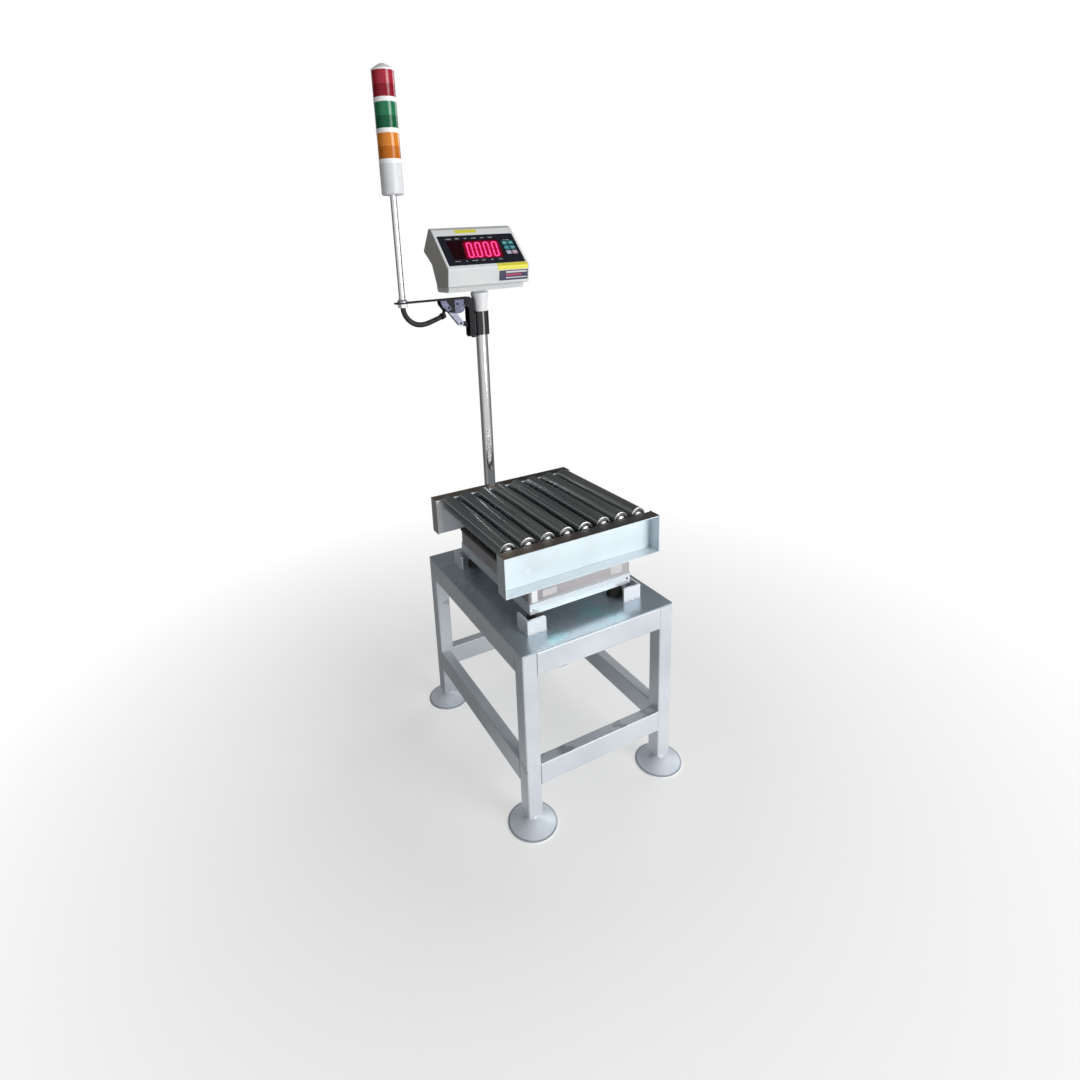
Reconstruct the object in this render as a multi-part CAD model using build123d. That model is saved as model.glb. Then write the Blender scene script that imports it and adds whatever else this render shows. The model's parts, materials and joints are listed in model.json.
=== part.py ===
from build123d import *
import os
from math import atan2, cos, degrees, hypot, radians, sin, sqrt, tan

# Roller top bench scale on a tube stand, with a column, a weighing indicator and a signal tower.
# Millimetres. +X runs along the roller deck, +Y to the column side, +Z up.
# The origin is the centre of the stand's footprint, on the floor.

# ---------------------------------------------------------------- driving sizes
# Stand
STAND_LENGTH = 440.0          # along X, over the legs
STAND_WIDTH = 576.0           # along Y, over the legs
STAND_TOP = 494.0             # top of the plate above the floor
PLATE_THICKNESS = 4.0
LEG_SIZE = 40.0
LEG_WALL = 2.0
LEG_CORNER = 4.0
LEG_FLOOR_GAP = 35.0          # floor to the cut end of the leg
RAIL_HEIGHT = 60.0
RAIL_DEPTH = 30.0
RAIL_WALL = 2.0
RAIL_CORNER = 3.0
STRETCHER_BOTTOM = 121.0
END_PLUG_HEIGHT = 14.0
FOOT_DIAMETER = 125.0
FOOT_RIM = 3.0
FOOT_HUB_DIAMETER = 28.0
FOOT_STUD_DIAMETER = 12.0
FOOT_STUD_REACH = 52.0        # stud above the cut end of the leg
FOOT_NUT_FLATS = 19.0
FOOT_NUT_HEIGHT = 10.0
CLEAT_FLANGE = 52.0
CLEAT_THICKNESS = 5.0
CLEAT_HEIGHT = 38.0
CLEAT_STANDOFF = 18.0         # cleat's outer face beyond the platform's edge
CLEAT_ROUND = 5.0

# Weighing platform
PLATFORM_LENGTH = 300.0       # along X
PLATFORM_WIDTH = 400.0        # along Y
PLATFORM_Y = -6.0             # centre of platform and deck along Y
SCALE_FOOT_DIAMETER = 44.0
SCALE_FOOT_HEIGHT = 28.0
SCALE_FOOT_INSET = 28.0       # foot axis in from both edges
SCALE_STUD_DIAMETER = 10.0
SCALE_NUT_FLATS = 17.0
SCALE_NUT_HEIGHT = 6.5
SCALE_STUD_REACH = 20.0       # stud above the base frame's underside
BASE_CLEARANCE = 39.5         # plate to the base frame's underside
BASE_HEIGHT = 28.5
BASE_WALL = 3.0
BASE_SCREW_DIAMETER = 6.5
BASE_SCREW_FROM_END = 11.0
CELL_LENGTH = 150.0
CELL_WIDTH = 38.0
CELL_HEIGHT = 40.0
CELL_BORE = 22.0
CELL_BORE_SPACING = 34.0
CELL_PAD = 5.5
SPIDER_THICKNESS = 8.0
SPIDER_ARM = 34.0
SPIDER_CORNER_INSET = 32.0
PAD_DIAMETER = 30.0
PAD_HEIGHT = 3.5
PLATTER_GAP = 1.5             # base frame to the platter's skirt
PLATTER_SKIRT = 36.5
PLATTER_SHEET = 1.5
PLATTER_CORNER = 10.0
PLATTER_EDGE = 2.5

# Column and its bracket on the base frame
COLUMN_DIAMETER = 34.0
COLUMN_WALL = 1.5
COLUMN_Y = 292.0
COLUMN_TOP = 1262.0
SOCKET_WALL = 5.0
SOCKET_HEIGHT = 84.0
SOCKET_FLOOR = 4.0
BRACKET_WIDTH = 60.0
BRACKET_WALL = 3.0
BRACKET_FLANGE_WIDTH = 100.0
BRACKET_FLANGE = 5.0

# Roller deck
DECK_LENGTH = 448.0           # along X, over the end plates
DECK_INSIDE = 376.0           # between the webs, along Y
CHANNEL_FLANGE = 36.0
CHANNEL_HEIGHT = 102.0
CHANNEL_SHEET = 2.5
CHANNEL_BEND = 4.0
END_PLATE = 2.0
END_TAB_WIDTH = 17.0
END_TAB_THICKNESS = 1.5
END_TAB_MARGIN = 3.0
CROSSBAR_WIDTH = 40.0
CROSSBAR_THICKNESS = 10.0
CROSSBAR_INSET = 20.0         # bar axis in from the platform's end
CROSSBAR_SEAT = 12.0          # bar under each channel, from the web's inner face
ROLLER_COUNT = 8
ROLLER_PITCH = 54.5
ROLLER_DIAMETER = 42.0
ROLLER_WALL = 1.5
ROLLER_PROUD = 13.0           # roller top above the channels
ROLLER_END_GAP = 6.0          # tube end to the axle strip
AXLE_DIAMETER = 12.0
STRIP_THICKNESS = 4.0
STRIP_HEIGHT = 22.0
STRIP_OVER_AXLE = -2.0        # the axle holes are notches, open in the strips' top edge
STRIP_END = 13.0              # strip beyond the outer axles

# Indicator
HOUSING_WIDTH = 250.0
HOUSING_WALL = 3.0
HOUSING_ROUND = 5.0
FACE_ANGLE = 45.0
FACE_LENGTH = 147.0           # sloping front, along the slope
FACE_FOOT_Y = -78.0           # lower edge of the sloping front, from the column axis
FACE_FOOT_Z = 1338.0
FRONT_BAND_DROP = 48.0
FRONT_BAND_LEAN = 8.0
CROWN_DEPTH = 20.0
CROWN_RISE = 7.0
BACK_BULGE = (96.0, 1388.0)   # from the column axis, height
BACK_WAIST = (38.0, 1350.0)
BACK_FOOT = (8.0, 1288.0)
SHELL_SPLIT = 40.0            # seam behind the sloping front
BELLY_HALF = 90.0
BELLY_BOTTOM = 1275.0
PLATE_WIDTH = 234.0
PLATE_HEIGHT = 112.0
PLATE_MARGIN = 12.0           # above the front's lower edge
PLATE_SHEET = 1.5
WINDOW_WIDTH = 156.0
WINDOW_HEIGHT = 70.0
WINDOW_SHEET = 0.8
WINDOW_X = -17.0
WINDOW_RISE = 1.5
KEY_WIDTH = 15.0
KEY_HEIGHT = 12.5
KEY_PROUD = 0.8
KEY_DEPTH = 2.4
KEY_TRAVEL = 0.6
KEY_GAP = 0.4
KEY_X = (80.0, 98.5)
KEY_RISE = (19.0, 1.0, -17.0)
PIVOT_HEIGHT = 1290.0
PIVOT_PIN_DIAMETER = 8.0
PIVOT_PIN_REACH = 30.0
KNUCKLE_RADIUS = 18.0
KNUCKLE_HALF = 22.0
KNUCKLE_CLEARANCE = 0.5
NECK_BOTTOM = 1214.0
NECK_SHOULDER = 1268.0
NECK_WALL = 2.45
NECK_FLARE = 6.0              # shoulder's radius beyond the neck's foot

# Folding bracket
SLEEVE_WALL = 6.0
SLEEVE_BOTTOM = 1147.0
SLEEVE_TOP = 1213.7
BRACKET_LEG_BOTTOM = 1142.0
BRACKET_LEG_GAP = 3.0         # sleeve to the leg's back
BRACKET_LEG_DEPTH = 16.0
BRACKET_LEG_SHEET = 2.5
FOLD_REACH = 18.0             # fold pin in front of the leg's back
FOLD_Z = 1243.0
FOLD_PIN_DIAMETER = 8.0
FOLD_EYE_RADIUS = 10.0
ARM_END = 254.0
ARM_THICKNESS = 4.0
ARM_WIDTH = 30.0
ARM_OVER_PIN = 10.5           # underside of the arm above the fold pin
CHEEK_THICKNESS = 2.0
CHEEK_OUTSIDE = 25.0
BRACE_REACH = 40.0            # brace pin in front of the leg's back
BRACE_Z = 1186.0
BRACE_LENGTH = 52.8
BRACE_ANGLE = 127.3           # from +X towards +Z
BRACE_RADIUS = 8.0
BRACE_OUTSIDE = 15.0
BRACE_SHEET = 2.5
LUG_WIDTH = 9.0
BRACE_PIN_DIAMETER = 6.0

# Signal tower
TOWER_X = -233.0
POLE_DIAMETER = 17.0
POLE_WALL = 1.5
TOWER_BOTTOM = 1534.0
TOWER_BASE_HEIGHT = 76.0
TOWER_DIAMETER = 58.0
RING_HEIGHT = 11.0
LENS_HEIGHT = 61.0
LENS_WALL = 2.5
CAP_HEIGHT = 18.0
CORE_DIAMETER = 18.0
POLE_NUT_DIAMETER = 28.0
POLE_NUT_HEIGHT = 8.0
GLAND_NUT_FLATS = 24.0
GLAND_NUT_HEIGHT = 10.0
CABLE_DIAMETER = 15.0
CABLE_CLIP_RADIUS = 9.0
CABLE_CLIP_LENGTH = 12.0

# Clearances
RUNNING = 0.05                # radial, shaft in hole
SLIDE_GAP = 0.3               # between bodies that move past each other

# ---------------------------------------------------------------- derived places
LEG_X = (STAND_LENGTH - LEG_SIZE) / 2
LEG_Y = (STAND_WIDTH - LEG_SIZE) / 2
PLATE_BOTTOM = STAND_TOP - PLATE_THICKNESS
FOOT_NUT_BOTTOM = LEG_FLOOR_GAP - FOOT_NUT_HEIGHT
FOOT_HUB_TOP = FOOT_NUT_BOTTOM - SLIDE_GAP
BASE_BOTTOM = STAND_TOP + BASE_CLEARANCE
BASE_TOP = BASE_BOTTOM + BASE_HEIGHT
BASE_FLOOR = BASE_BOTTOM + BASE_WALL
PLATTER_BOTTOM = BASE_TOP + PLATTER_GAP
PLATTER_TOP = PLATTER_BOTTOM + PLATTER_SKIRT
PLATFORM_BACK = PLATFORM_Y + PLATFORM_WIDTH / 2
SCALE_FOOT_X = PLATFORM_LENGTH / 2 - SCALE_FOOT_INSET
SCALE_FOOT_Y = PLATFORM_WIDTH / 2 - SCALE_FOOT_INSET
PAD_BOTTOM = PLATTER_TOP - PLATTER_SHEET - PAD_HEIGHT
SPIDER_BOTTOM = PAD_BOTTOM - SPIDER_THICKNESS
COLUMN_RADIUS = COLUMN_DIAMETER / 2
SOCKET_BOTTOM = BASE_BOTTOM - 14.0
COLUMN_BOTTOM = SOCKET_BOTTOM + SOCKET_FLOOR
NECK_RADIUS = COLUMN_RADIUS + RUNNING + NECK_WALL
NECK_FLARE_RADIUS = NECK_RADIUS + NECK_FLARE
SLEEVE_RADIUS = COLUMN_RADIUS + SLEEVE_WALL
BRACKET_LEG_BACK = SLEEVE_RADIUS + BRACKET_LEG_GAP
FOLD_X = -(BRACKET_LEG_BACK + FOLD_REACH)
BRACE_X = -(BRACKET_LEG_BACK + BRACE_REACH)
DECK_BOTTOM = PLATTER_TOP + CROSSBAR_THICKNESS
DECK_TOP = DECK_BOTTOM + CHANNEL_HEIGHT
ROLLER_RADIUS = ROLLER_DIAMETER / 2
ROLLER_Z = DECK_TOP + ROLLER_PROUD - ROLLER_RADIUS
ROLLER_HALF = DECK_INSIDE / 2 - STRIP_THICKNESS - ROLLER_END_GAP
ARM_BOTTOM = FOLD_Z + ARM_OVER_PIN
ARM_TOP = ARM_BOTTOM + ARM_THICKNESS
POLE_BOTTOM = ARM_BOTTOM - GLAND_NUT_HEIGHT
POLE_RADIUS = POLE_DIAMETER / 2
TOWER_RADIUS = TOWER_DIAMETER / 2
CORNERS = {"front_left": (-1, -1), "front_right": (1, -1), "back_left": (-1, 1), "back_right": (1, 1)}

pieces = {}


# ---------------------------------------------------------------- shared shapes
def block(x0, x1, y0, y1, z0, z1):
    """Solid between two opposite corners."""
    return Pos((x0 + x1) / 2, (y0 + y1) / 2, (z0 + z1) / 2) * Box(x1 - x0, y1 - y0, z1 - z0)


def rod(radius, x, y, z0, z1):
    """Upright cylinder."""
    return Pos(x, y, (z0 + z1) / 2) * Cylinder(radius, z1 - z0)


def rod_x(radius, y, z, x0, x1):
    """Cylinder along X."""
    return Pos((x0 + x1) / 2, y, z) * Rot(0, 90, 0) * Cylinder(radius, x1 - x0)


def rod_y(radius, x, z, y0, y1):
    """Cylinder along Y."""
    return Pos(x, (y0 + y1) / 2, z) * Rot(90, 0, 0) * Cylinder(radius, y1 - y0)


def turned(profile, x=0.0, y=0.0):
    """Body of revolution about an upright axis, from (radius, height) points."""
    return Pos(x, y, 0) * revolve(make_face(Plane.XZ * Polyline(*profile, close=True)), Axis.Z)


def hex_prism(flats, x, y, z0, z1):
    """Upright hexagon across its flats."""
    return Pos(x, y, z0) * extrude(RegularPolygon(flats / 2, 6, major_radius=False), amount=z1 - z0)


def tube_section(width, height, wall, corner):
    """Section of a rectangular tube."""
    return RectangleRounded(width, height, corner) - RectangleRounded(
        width - 2 * wall, height - 2 * wall, corner - wall
    )


def plate_xz(points, y0, y1):
    """Flat plate from an (x, z) outline, between two Y values."""
    face = make_face(Plane.XZ * Polyline(*points, close=True))
    return Pos(0, y0, 0) * extrude(face, amount=y1 - y0, dir=(0, 1, 0))


def plate_yz(points, x0, x1, corner=0.0):
    """Prism along X from a (y, z) outline, its corners rounded."""
    face = make_face(Plane.YZ * Polyline(*points, close=True))
    if corner:
        face = fillet(face.vertices(), corner)
    return Pos(x0, 0, 0) * extrude(face, amount=x1 - x0, dir=(1, 0, 0))


# ---------------------------------------------------------------- stand
pieces["top_plate"] = Pos(0, 0, PLATE_BOTTOM) * extrude(
    RectangleRounded(STAND_LENGTH, STAND_WIDTH, LEG_CORNER), amount=PLATE_THICKNESS
)

leg_section = tube_section(LEG_SIZE, LEG_SIZE, LEG_WALL, LEG_CORNER)
leg = extrude(leg_section, amount=PLATE_BOTTOM - LEG_FLOOR_GAP)
pieces["stand_legs"] = Compound(
    [Pos(sx * LEG_X, sy * LEG_Y, LEG_FLOOR_GAP) * leg for sx, sy in CORNERS.values()]
)

rail_section = tube_section(RAIL_DEPTH, RAIL_HEIGHT, RAIL_WALL, RAIL_CORNER)
RAIL_X = STAND_LENGTH - 2 * LEG_SIZE
RAIL_Y = STAND_WIDTH - 2 * LEG_SIZE
rail_x = Pos(-RAIL_X / 2, 0, 0) * extrude(Plane.YZ * rail_section, amount=RAIL_X)
rail_y = Pos(0, RAIL_Y / 2, 0) * extrude(Plane.XZ * rail_section, amount=RAIL_Y)


def rail_ring(z_bottom):
    """Four rails between the legs, flush with the legs' outer faces."""
    z = z_bottom + RAIL_HEIGHT / 2
    x = (STAND_LENGTH - RAIL_DEPTH) / 2
    y = (STAND_WIDTH - RAIL_DEPTH) / 2
    return Compound([Pos(0, s * y, z) * rail_x for s in (-1, 1)] + [Pos(s * x, 0, z) * rail_y for s in (-1, 1)])


pieces["apron_rails"] = rail_ring(PLATE_BOTTOM - RAIL_HEIGHT)
pieces["stretchers"] = rail_ring(STRETCHER_BOTTOM)

# Threaded plugs in the legs' ends, lock nuts and levelling feet
stud_hole = FOOT_STUD_DIAMETER / 2 + RUNNING
plug = extrude(
    RectangleRounded(LEG_SIZE - 2 * LEG_WALL, LEG_SIZE - 2 * LEG_WALL, LEG_CORNER - LEG_WALL)
    - Circle(stud_hole),
    amount=END_PLUG_HEIGHT,
)
foot_nut = extrude(
    RegularPolygon(FOOT_NUT_FLATS / 2, 6, major_radius=False) - Circle(stud_hole), amount=FOOT_NUT_HEIGHT
)
foot_radius = FOOT_DIAMETER / 2
hub_radius = FOOT_HUB_DIAMETER / 2
foot_rise = FOOT_HUB_TOP - FOOT_RIM
foot_profile = [
    (0, 0),
    (foot_radius, 0),
    (foot_radius, FOOT_RIM),
    (hub_radius + 0.66 * (foot_radius - hub_radius), FOOT_RIM + 0.24 * foot_rise),
    (hub_radius + 0.33 * (foot_radius - hub_radius), FOOT_RIM + 0.52 * foot_rise),
    (hub_radius, FOOT_RIM + 0.86 * foot_rise),
    (hub_radius - 3, FOOT_HUB_TOP),
    (FOOT_STUD_DIAMETER / 2, FOOT_HUB_TOP),
    (FOOT_STUD_DIAMETER / 2, LEG_FLOOR_GAP + FOOT_STUD_REACH),
    (0, LEG_FLOOR_GAP + FOOT_STUD_REACH),
]
plugs, nuts = [], []
for corner, (sx, sy) in CORNERS.items():
    plugs.append(Pos(sx * LEG_X, sy * LEG_Y, LEG_FLOOR_GAP) * plug)
    nuts.append(Pos(sx * LEG_X, sy * LEG_Y, FOOT_NUT_BOTTOM) * foot_nut)
    pieces["foot_" + corner] = turned(foot_profile, sx * LEG_X, sy * LEG_Y)
pieces["leg_end_plugs"] = Compound(plugs)
pieces["foot_lock_nuts"] = Compound(nuts)

# Angle cleats welded round the scale's feet
cleat = extrude(
    make_face(
        Polyline(
            (0, 0),
            (CLEAT_FLANGE, 0),
            (CLEAT_FLANGE, CLEAT_THICKNESS),
            (CLEAT_THICKNESS, CLEAT_THICKNESS),
            (CLEAT_THICKNESS, CLEAT_FLANGE),
            (0, CLEAT_FLANGE),
            close=True,
        )
    ),
    amount=CLEAT_HEIGHT,
)
cleat_top = cleat.edges().group_by(Axis.Z)[-1]
cleat = fillet(
    [cleat_top.filter_by(Axis.Y).sort_by(Axis.X)[-1], cleat_top.filter_by(Axis.X).sort_by(Axis.Y)[-1]],
    CLEAT_ROUND,
)
cleat_x = PLATFORM_LENGTH / 2 + CLEAT_STANDOFF
cleat_y = PLATFORM_WIDTH / 2 + CLEAT_STANDOFF
cleats = []
for sx, sy in CORNERS.values():
    turned_cleat = cleat if sx < 0 else mirror(cleat, about=Plane.YZ)
    turned_cleat = turned_cleat if sy < 0 else mirror(turned_cleat, about=Plane.XZ)
    cleats.append(Pos(sx * cleat_x, PLATFORM_Y + sy * cleat_y, STAND_TOP) * turned_cleat)
pieces["corner_cleats"] = Compound(cleats)

# ---------------------------------------------------------------- weighing platform
scale_feet = []
for sx, sy in CORNERS.values():
    r = SCALE_FOOT_DIAMETER / 2
    top = STAND_TOP + SCALE_FOOT_HEIGHT
    x, y = sx * SCALE_FOOT_X, PLATFORM_Y + sy * SCALE_FOOT_Y
    stud = SCALE_STUD_DIAMETER / 2
    reach = BASE_BOTTOM + SCALE_STUD_REACH
    scale_feet.append(
        turned(
            [
                (0, STAND_TOP),
                (r - 2, STAND_TOP),
                (r, STAND_TOP + 3),
                (r - 3, STAND_TOP + 0.6 * SCALE_FOOT_HEIGHT),
                (r - 7, top),
                (stud, top),
                (stud, reach),
                (0, reach),
            ],
            x,
            y,
        )
    )
    scale_feet.append(
        hex_prism(SCALE_NUT_FLATS, x, y, BASE_BOTTOM - SCALE_NUT_HEIGHT, BASE_BOTTOM)
        - rod(stud, x, y, BASE_BOTTOM - SCALE_NUT_HEIGHT, BASE_BOTTOM)
    )
pieces["scale_feet"] = Compound(scale_feet)

base = Pos(0, PLATFORM_Y, BASE_BOTTOM) * (
    extrude(RectangleRounded(PLATFORM_LENGTH, PLATFORM_WIDTH, 2.0), amount=BASE_HEIGHT)
    - Pos(0, 0, BASE_WALL)
    * extrude(Rectangle(PLATFORM_LENGTH - 2 * BASE_WALL, PLATFORM_WIDTH - 2 * BASE_WALL), amount=BASE_HEIGHT)
)
for sx, sy in CORNERS.values():
    x, y = sx * SCALE_FOOT_X, PLATFORM_Y + sy * SCALE_FOOT_Y
    base += rod(SCALE_STUD_DIAMETER / 2 + 5, x, y, BASE_FLOOR, BASE_BOTTOM + SCALE_STUD_REACH - 2)
    base -= rod(SCALE_STUD_DIAMETER / 2 + RUNNING, x, y, BASE_BOTTOM, BASE_TOP)
base += block(
    -CELL_WIDTH / 2 - 6,
    CELL_WIDTH / 2 + 6,
    PLATFORM_Y - CELL_LENGTH / 2 - 3,
    PLATFORM_Y - CELL_LENGTH / 2 + 47,
    BASE_FLOOR,
    BASE_FLOOR + CELL_PAD,
)
for s in (-1, 1):
    base -= rod_y(
        BASE_SCREW_DIAMETER / 2,
        s * (PLATFORM_LENGTH / 2 - BASE_SCREW_FROM_END),
        BASE_BOTTOM + BASE_HEIGHT / 2,
        PLATFORM_Y - PLATFORM_WIDTH / 2 - 1,
        PLATFORM_Y - PLATFORM_WIDTH / 2 + BASE_WALL + 1,
    )
pieces["scale_base"] = base

cell_bottom = BASE_FLOOR + CELL_PAD
cell_mid = cell_bottom + CELL_HEIGHT / 2
cell = block(
    -CELL_WIDTH / 2,
    CELL_WIDTH / 2,
    PLATFORM_Y - CELL_LENGTH / 2,
    PLATFORM_Y + CELL_LENGTH / 2,
    cell_bottom,
    cell_bottom + CELL_HEIGHT,
)
for s in (-1, 1):
    cell -= rod_x(CELL_BORE / 2, PLATFORM_Y + s * CELL_BORE_SPACING / 2, cell_mid, -CELL_WIDTH, CELL_WIDTH)
cell -= block(
    -CELL_WIDTH,
    CELL_WIDTH,
    PLATFORM_Y - CELL_BORE_SPACING / 2,
    PLATFORM_Y + CELL_BORE_SPACING / 2,
    cell_mid - 3,
    cell_mid + 3,
)
pieces["load_cell"] = cell

spider_x = PLATFORM_LENGTH / 2 - SPIDER_CORNER_INSET
spider_y = PLATFORM_WIDTH / 2 - SPIDER_CORNER_INSET
spider_turn = degrees(atan2(spider_y, spider_x))
spider_plan = Rectangle(CELL_WIDTH + 60, CELL_LENGTH + 30)
for s in (-1, 1):
    spider_plan += Rot(0, 0, s * spider_turn) * Rectangle(2 * hypot(spider_x, spider_y), SPIDER_ARM)
for sx, sy in CORNERS.values():
    spider_plan += Pos(sx * spider_x, sy * spider_y) * Circle(SPIDER_ARM / 2)
pieces["spider_frame"] = Pos(0, PLATFORM_Y, SPIDER_BOTTOM) * extrude(spider_plan, amount=SPIDER_THICKNESS) + block(
    -CELL_WIDTH / 2,
    CELL_WIDTH / 2,
    PLATFORM_Y + CELL_LENGTH / 2 - 47,
    PLATFORM_Y + CELL_LENGTH / 2,
    cell_bottom + CELL_HEIGHT,
    SPIDER_BOTTOM,
)
pieces["platter_pads"] = Compound(
    [
        rod(PAD_DIAMETER / 2, sx * spider_x, PLATFORM_Y + sy * spider_y, PAD_BOTTOM, PAD_BOTTOM + PAD_HEIGHT)
        for sx, sy in CORNERS.values()
    ]
)
platter = Pos(0, PLATFORM_Y, PLATTER_BOTTOM) * extrude(
    RectangleRounded(PLATFORM_LENGTH, PLATFORM_WIDTH, PLATTER_CORNER), amount=PLATTER_SKIRT
)
platter = fillet(platter.faces().sort_by(Axis.Z)[-1].edges(), PLATTER_EDGE)
platter -= Pos(0, PLATFORM_Y, PLATTER_BOTTOM) * extrude(
    RectangleRounded(
        PLATFORM_LENGTH - 2 * PLATTER_SHEET, PLATFORM_WIDTH - 2 * PLATTER_SHEET, PLATTER_CORNER - PLATTER_SHEET
    ),
    amount=PLATTER_SKIRT - PLATTER_SHEET,
)
pieces["platter"] = platter

# ---------------------------------------------------------------- column
socket_radius = COLUMN_RADIUS + RUNNING + SOCKET_WALL
column_bracket = (
    block(
        -BRACKET_FLANGE_WIDTH / 2,
        BRACKET_FLANGE_WIDTH / 2,
        PLATFORM_BACK,
        PLATFORM_BACK + BRACKET_FLANGE,
        BASE_BOTTOM,
        BASE_TOP,
    )
    + Pos(0, COLUMN_Y, BASE_BOTTOM + BASE_HEIGHT / 2)
    * extrude(
        Plane.XZ * tube_section(BRACKET_WIDTH, BASE_HEIGHT, BRACKET_WALL, BRACKET_WALL + 2),
        amount=COLUMN_Y - PLATFORM_BACK - BRACKET_FLANGE,
    )
    + rod(socket_radius, 0, COLUMN_Y, SOCKET_BOTTOM, SOCKET_BOTTOM + SOCKET_HEIGHT)
)
column_bracket -= rod(COLUMN_RADIUS + RUNNING, 0, COLUMN_Y, COLUMN_BOTTOM, SOCKET_BOTTOM + SOCKET_HEIGHT)
clamp_z = SOCKET_BOTTOM + SOCKET_HEIGHT - 14
column_bracket += Pos(0, COLUMN_Y + COLUMN_RADIUS + RUNNING, clamp_z) * Rot(-90, 0, 0) * Pos(0, 0, 9) * (
    Cylinder(8, 12) + Pos(0, 0, 6) * extrude(RegularPolygon(6.5, 6, major_radius=False), amount=5)
)
pieces["column_bracket"] = column_bracket
pieces["column"] = rod(COLUMN_RADIUS, 0, COLUMN_Y, COLUMN_BOTTOM, COLUMN_TOP) - rod(
    COLUMN_RADIUS - COLUMN_WALL, 0, COLUMN_Y, COLUMN_BOTTOM, COLUMN_TOP
)

# ---------------------------------------------------------------- roller deck
# One side channel in its own place: web at y = 0, flanges towards +Y, a folded plate closing each end.
section = make_face(
    Plane.YZ
    * Polyline(
        (0, 0),
        (CHANNEL_FLANGE, 0),
        (CHANNEL_FLANGE, CHANNEL_SHEET),
        (CHANNEL_SHEET, CHANNEL_SHEET),
        (CHANNEL_SHEET, CHANNEL_HEIGHT - CHANNEL_SHEET),
        (CHANNEL_FLANGE, CHANNEL_HEIGHT - CHANNEL_SHEET),
        (CHANNEL_FLANGE, CHANNEL_HEIGHT),
        (0, CHANNEL_HEIGHT),
        close=True,
    )
)
web_corners = section.vertices().group_by(Axis.Y)
section = fillet(web_corners[0], CHANNEL_BEND)
section = fillet(section.vertices().filter_by_position(Axis.Y, CHANNEL_SHEET - 0.01, CHANNEL_SHEET + 0.01),
                 CHANNEL_BEND - CHANNEL_SHEET)
channel = Pos(-DECK_LENGTH / 2 + END_PLATE, 0, 0) * extrude(section, amount=DECK_LENGTH - 2 * END_PLATE)
for s in (-1, 1):
    outer, inner = sorted((s * DECK_LENGTH / 2, s * (DECK_LENGTH / 2 - END_PLATE)))
    channel += block(outer, inner, -END_TAB_THICKNESS, CHANNEL_FLANGE, 0, CHANNEL_HEIGHT)
    outer, inner = sorted((s * DECK_LENGTH / 2, s * (DECK_LENGTH / 2 - END_TAB_WIDTH)))
    channel += block(outer, inner, -END_TAB_THICKNESS, 0, END_TAB_MARGIN, CHANNEL_HEIGHT - END_TAB_MARGIN)
pieces["channel_back"] = Pos(0, PLATFORM_Y + DECK_INSIDE / 2, DECK_BOTTOM) * channel
pieces["channel_front"] = Pos(0, PLATFORM_Y - DECK_INSIDE / 2, DECK_BOTTOM) * mirror(channel, about=Plane.XZ)

crossbar_x = PLATFORM_LENGTH / 2 - CROSSBAR_INSET
pieces["deck_crossbars"] = Compound(
    [
        block(
            s * crossbar_x - CROSSBAR_WIDTH / 2,
            s * crossbar_x + CROSSBAR_WIDTH / 2,
            PLATFORM_Y - DECK_INSIDE / 2 - CROSSBAR_SEAT,
            PLATFORM_Y + DECK_INSIDE / 2 + CROSSBAR_SEAT,
            PLATTER_TOP,
            DECK_BOTTOM,
        )
        for s in (-1, 1)
    ]
)

roller_xs = [(i - (ROLLER_COUNT - 1) / 2) * ROLLER_PITCH for i in range(ROLLER_COUNT)]
strip_half = roller_xs[-1] + STRIP_END
strips = []
for s in (-1, 1):
    web = PLATFORM_Y + s * DECK_INSIDE / 2
    y0, y1 = sorted((web, web - s * STRIP_THICKNESS))
    strip_top = ROLLER_Z + AXLE_DIAMETER / 2 + STRIP_OVER_AXLE
    strip = block(-strip_half, strip_half, y0, y1, strip_top - STRIP_HEIGHT, strip_top)
    for x in roller_xs:
        strip -= rod_y(AXLE_DIAMETER / 2 + RUNNING, x, ROLLER_Z, y0 - 1, y1 + 1)
    strips.append(strip)
pieces["axle_strips"] = Compound(strips)

axle_y0, axle_y1 = PLATFORM_Y - DECK_INSIDE / 2, PLATFORM_Y + DECK_INSIDE / 2
pieces["roller_axles"] = Compound(
    [rod_y(AXLE_DIAMETER / 2, x, ROLLER_Z, axle_y0, axle_y1) for x in roller_xs]
)

# A roller stands upright in its own place, then lies down along Y. Both pressed caps carry the axle.
bore = AXLE_DIAMETER / 2 + RUNNING
tube_bore = ROLLER_RADIUS - ROLLER_WALL
cap_profile = [
    (bore, -9.0),
    (tube_bore, -9.0),
    (tube_bore, 0.0),
    (ROLLER_RADIUS, 0.0),
    (ROLLER_RADIUS, 0.8),
    (ROLLER_RADIUS - 1.6, 1.6),
    (ROLLER_RADIUS - 4.0, 1.2),
    (ROLLER_RADIUS - 5.2, -1.6),
    (ROLLER_RADIUS - 8.6, -1.6),
    (ROLLER_RADIUS - 10.6, 3.2),
    (bore, ROLLER_END_GAP - 1.0),
]
roller_cap = turned([(r, z + ROLLER_HALF) for r, z in cap_profile])
roller_tube = rod(ROLLER_RADIUS, 0, 0, -ROLLER_HALF, ROLLER_HALF) - rod(tube_bore, 0, 0, -ROLLER_HALF, ROLLER_HALF)
roller = Compound([roller_tube, roller_cap, mirror(roller_cap, about=Plane.XY)])
for i, x in enumerate(roller_xs):
    pieces[f"roller_{i + 1}"] = Pos(x, PLATFORM_Y, ROLLER_Z) * Rot(90, 0, 0) * roller

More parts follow.
